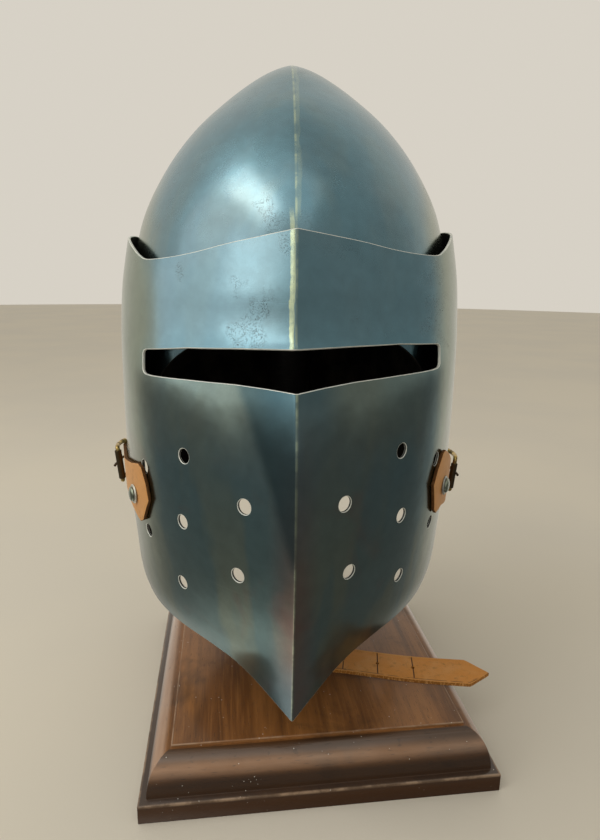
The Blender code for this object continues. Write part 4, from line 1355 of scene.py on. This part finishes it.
class BASCINET_OT_plinth(bpy.types.Operator):
    """Shapes the walnut plinth: a lip, an ovolo, a fillet and an upright foot"""

    bl_idname = "bascinet.plinth"
    bl_label = "Plinth"

    def execute(self, context):
        (lip_out, lip_down), (ovolo_out, ovolo_down) = PLINTH_LIP, PLINTH_OVOLO
        reach = (ovolo_out - lip_out, ovolo_down - lip_down)
        ovolo = arc((lip_out, ovolo_down), reach, -math.pi / 2, 0, OVOLO_STEPS)[1:]
        foot = [(PLINTH_FOOT, ovolo_down), (PLINTH_FOOT, PLINTH_HEIGHT)]
        profile = [(0, 0), (0, lip_down), (lip_out, lip_down), *ovolo, *foot]
        base = PLINTH_WIDTH / 2 - PLINTH_FOOT
        shell = bmesh.new()
        bmesh.ops.create_grid(shell, x_segments=1, y_segments=1, size=base * MM)
        rim = list(shell.edges)
        for (last_out, last_down), (out, down) in zip(profile, profile[1:]):
            moved = bmesh.ops.extrude_edge_only(shell, edges=rim)["geom"]
            rim = [item for item in moved if isinstance(item, bmesh.types.BMEdge)]
            for vertex in {vert for edge in rim for vert in edge.verts}:
                vertex.co.xy *= (base + out) / (base + last_out)
                vertex.co.z -= (down - last_down) * MM
        bmesh.ops.contextual_create(shell, geom=rim)
        facing_out(shell)
        arrises = [edge for edge in shell.edges if edge.calc_face_angle(0) > PLINTH_ARRIS]
        bevelled(shell, arrises, PLINTH_EASE, 2)
        laid = shell.loops.layers.uv.new("UVMap")
        for face in shell.faces:
            level = abs(face.normal.z) > LEVEL_FACE
            across = abs(face.normal.y) > abs(face.normal.x) and not level
            for loop in face.loops:
                x, y, z = loop.vert.co
                loop[laid].uv = (x, y - z + GRAIN_APART) if across else (y, x - z)
        turn = Matrix.Rotation(PLINTH_TURN, 4, "Z")
        middle = [part * MM for part in PLINTH_CENTRE]
        shell.transform(Matrix.Translation((*middle, PLINTH_TOP)) @ turn)
        wood = walnut(colours_of(context), "waxed_walnut")
        finished("plinth_board", shell, (wood,), ("plinth",), 30)
        return {"FINISHED"}


class BASCINET_OT_fittings(bpy.types.Operator):
    """Finishes the parts that stay as they were packed: the visor's pins and the strap's rivet"""

    bl_idname = "bascinet.fittings"
    bl_label = "Pins and strap rivet"

    def execute(self, context):
        steel = bare_steel(colours_of(context), "fitting_steel")
        for name in ("left_visor_pin", "right_visor_pin", "strap_rivet"):
            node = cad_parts[name]
            node.data.materials.clear()
            node.data.materials.append(steel)
        return {"FINISHED"}


def soft_light(name, azimuth, elevation, distance, size, power, colour, spin):
    """A soft box at a direction from the helmet."""
    turn, rise = math.radians(azimuth), math.radians(elevation)
    out = Vector((math.sin(turn) * math.cos(rise), -math.cos(turn) * math.cos(rise), math.sin(rise)))
    lamp = bpy.data.lights.new(name, "AREA")
    lamp.shape = "RECTANGLE"
    lamp.size, lamp.size_y = size
    lamp.energy = power
    lamp.color = colour
    body = bpy.data.objects.new(name, lamp)
    bpy.context.scene.collection.objects.link(body)
    turned_to = out.to_track_quat("Z", "Y").to_matrix().to_4x4()
    spun = Matrix.Rotation(math.radians(spin), 4, "Z")
    body.matrix_world = Matrix.Translation(Vector(LIT_SPOT) + out * distance) @ turned_to @ spun


def studio_air():
    """The light of the room: brighter behind the helmet than in front and to its right."""
    world = bpy.data.worlds.new("studio")
    world.use_nodes = True
    bpy.context.scene.world = world
    air = Nodes(world.node_tree, "Background")
    x, y, z = air.parts(air.node("ShaderNodeTexCoord", output="Generated"))
    above = z.rising(-0.14, 0.02)
    higher = z.rising(0.2, 0.7)
    behind = (y + 0.2 * above).rising(0.3, 0.72) * (0.4 + 0.6 * z.rising(-0.6, -0.25))
    left = x.falling(-0.8, 0.3)
    below_left = z.falling(-0.88, -0.58) * x.falling(-0.3, 0.1)
    level = 0.13 + 0.06 * left + 0.25 * above + 0.08 * higher + 0.3 * above * left
    level = level + (0.68 - level) * behind
    level = level + 0.75 * below_left
    air.feed("Color", air.mixed(level, (0.0, 0.0, 0.0), (1.0, 0.94, 0.83)))


class BASCINET_OT_stage(bpy.types.Operator):
    """Lays the floor and sets the lights and the camera"""

    bl_idname = "bascinet.stage"
    bl_label = "Stage"

    def execute(self, context):
        ground = bmesh.new()
        bmesh.ops.create_circle(ground, cap_ends=True, segments=FLOOR_STEPS, radius=FLOOR_RADIUS)
        mesh = bpy.data.meshes.new("floor")
        ground.to_mesh(mesh)
        ground.free()
        mesh.materials.append(plain_floor(colours_of(context), "studio_floor"))
        floor = bpy.data.objects.new("floor", mesh)
        floor.visible_glossy = False
        bpy.context.scene.collection.objects.link(floor)
        studio_air()
        for light in LIGHTS:
            soft_light(*light)
        context.scene.view_settings.view_transform = "Standard"
        lens = bpy.data.cameras.new("camera")
        lens.sensor_width, lens.lens, lens.clip_start = CAMERA_SENSOR, CAMERA_LENS, CAMERA_NEAREST
        camera = bpy.data.objects.new("camera", lens)
        bpy.context.scene.collection.objects.link(camera)
        turn, tip, roll = (math.radians(angle) for angle in (CAMERA_TURN, 90 - CAMERA_DIP, CAMERA_ROLL))
        camera.matrix_world = (
            Matrix.Translation(CAMERA_PLACE)
            @ Matrix.Rotation(turn, 4, "Z")
            @ Matrix.Rotation(tip, 4, "X")
            @ Matrix.Rotation(roll, 4, "Z")
        )
        bpy.context.scene.camera = camera
        return {"FINISHED"}


PIECES = ("skull", "visor", "tabs", "buckles", "strap", "post", "plinth", "fittings", "stage")


class BASCINET_PT_maker(bpy.types.Panel):
    """Lists the sizes, the colours and what makes each piece"""

    bl_idname = "BASCINET_PT_maker"
    bl_label = "Bascinet"
    bl_space_type = "VIEW_3D"
    bl_region_type = "UI"
    bl_category = "Bascinet"

    def draw(self, context):
        for group in (sizes_of(context), colours_of(context)):
            for name in group.__annotations__:
                self.layout.prop(group, name)
        for piece in PIECES:
            self.layout.operator("bascinet." + piece)


CLASSES = (
    BascinetSizes,
    BascinetColours,
    BASCINET_OT_skull,
    BASCINET_OT_visor,
    BASCINET_OT_tabs,
    BASCINET_OT_buckles,
    BASCINET_OT_strap,
    BASCINET_OT_post,
    BASCINET_OT_plinth,
    BASCINET_OT_fittings,
    BASCINET_OT_stage,
    BASCINET_PT_maker,
)


def register():
    for kind in CLASSES:
        bpy.utils.register_class(kind)
    bpy.types.Scene.bascinet_sizes = PointerProperty(type=BascinetSizes)
    bpy.types.Scene.bascinet_colours = PointerProperty(type=BascinetColours)


def unregister():
    del bpy.types.Scene.bascinet_colours
    del bpy.types.Scene.bascinet_sizes
    for kind in reversed(CLASSES):
        bpy.utils.unregister_class(kind)


def main():
    register()
    for piece in PIECES:
        getattr(bpy.ops.bascinet, piece)()


if __name__ == "__main__":
    main()
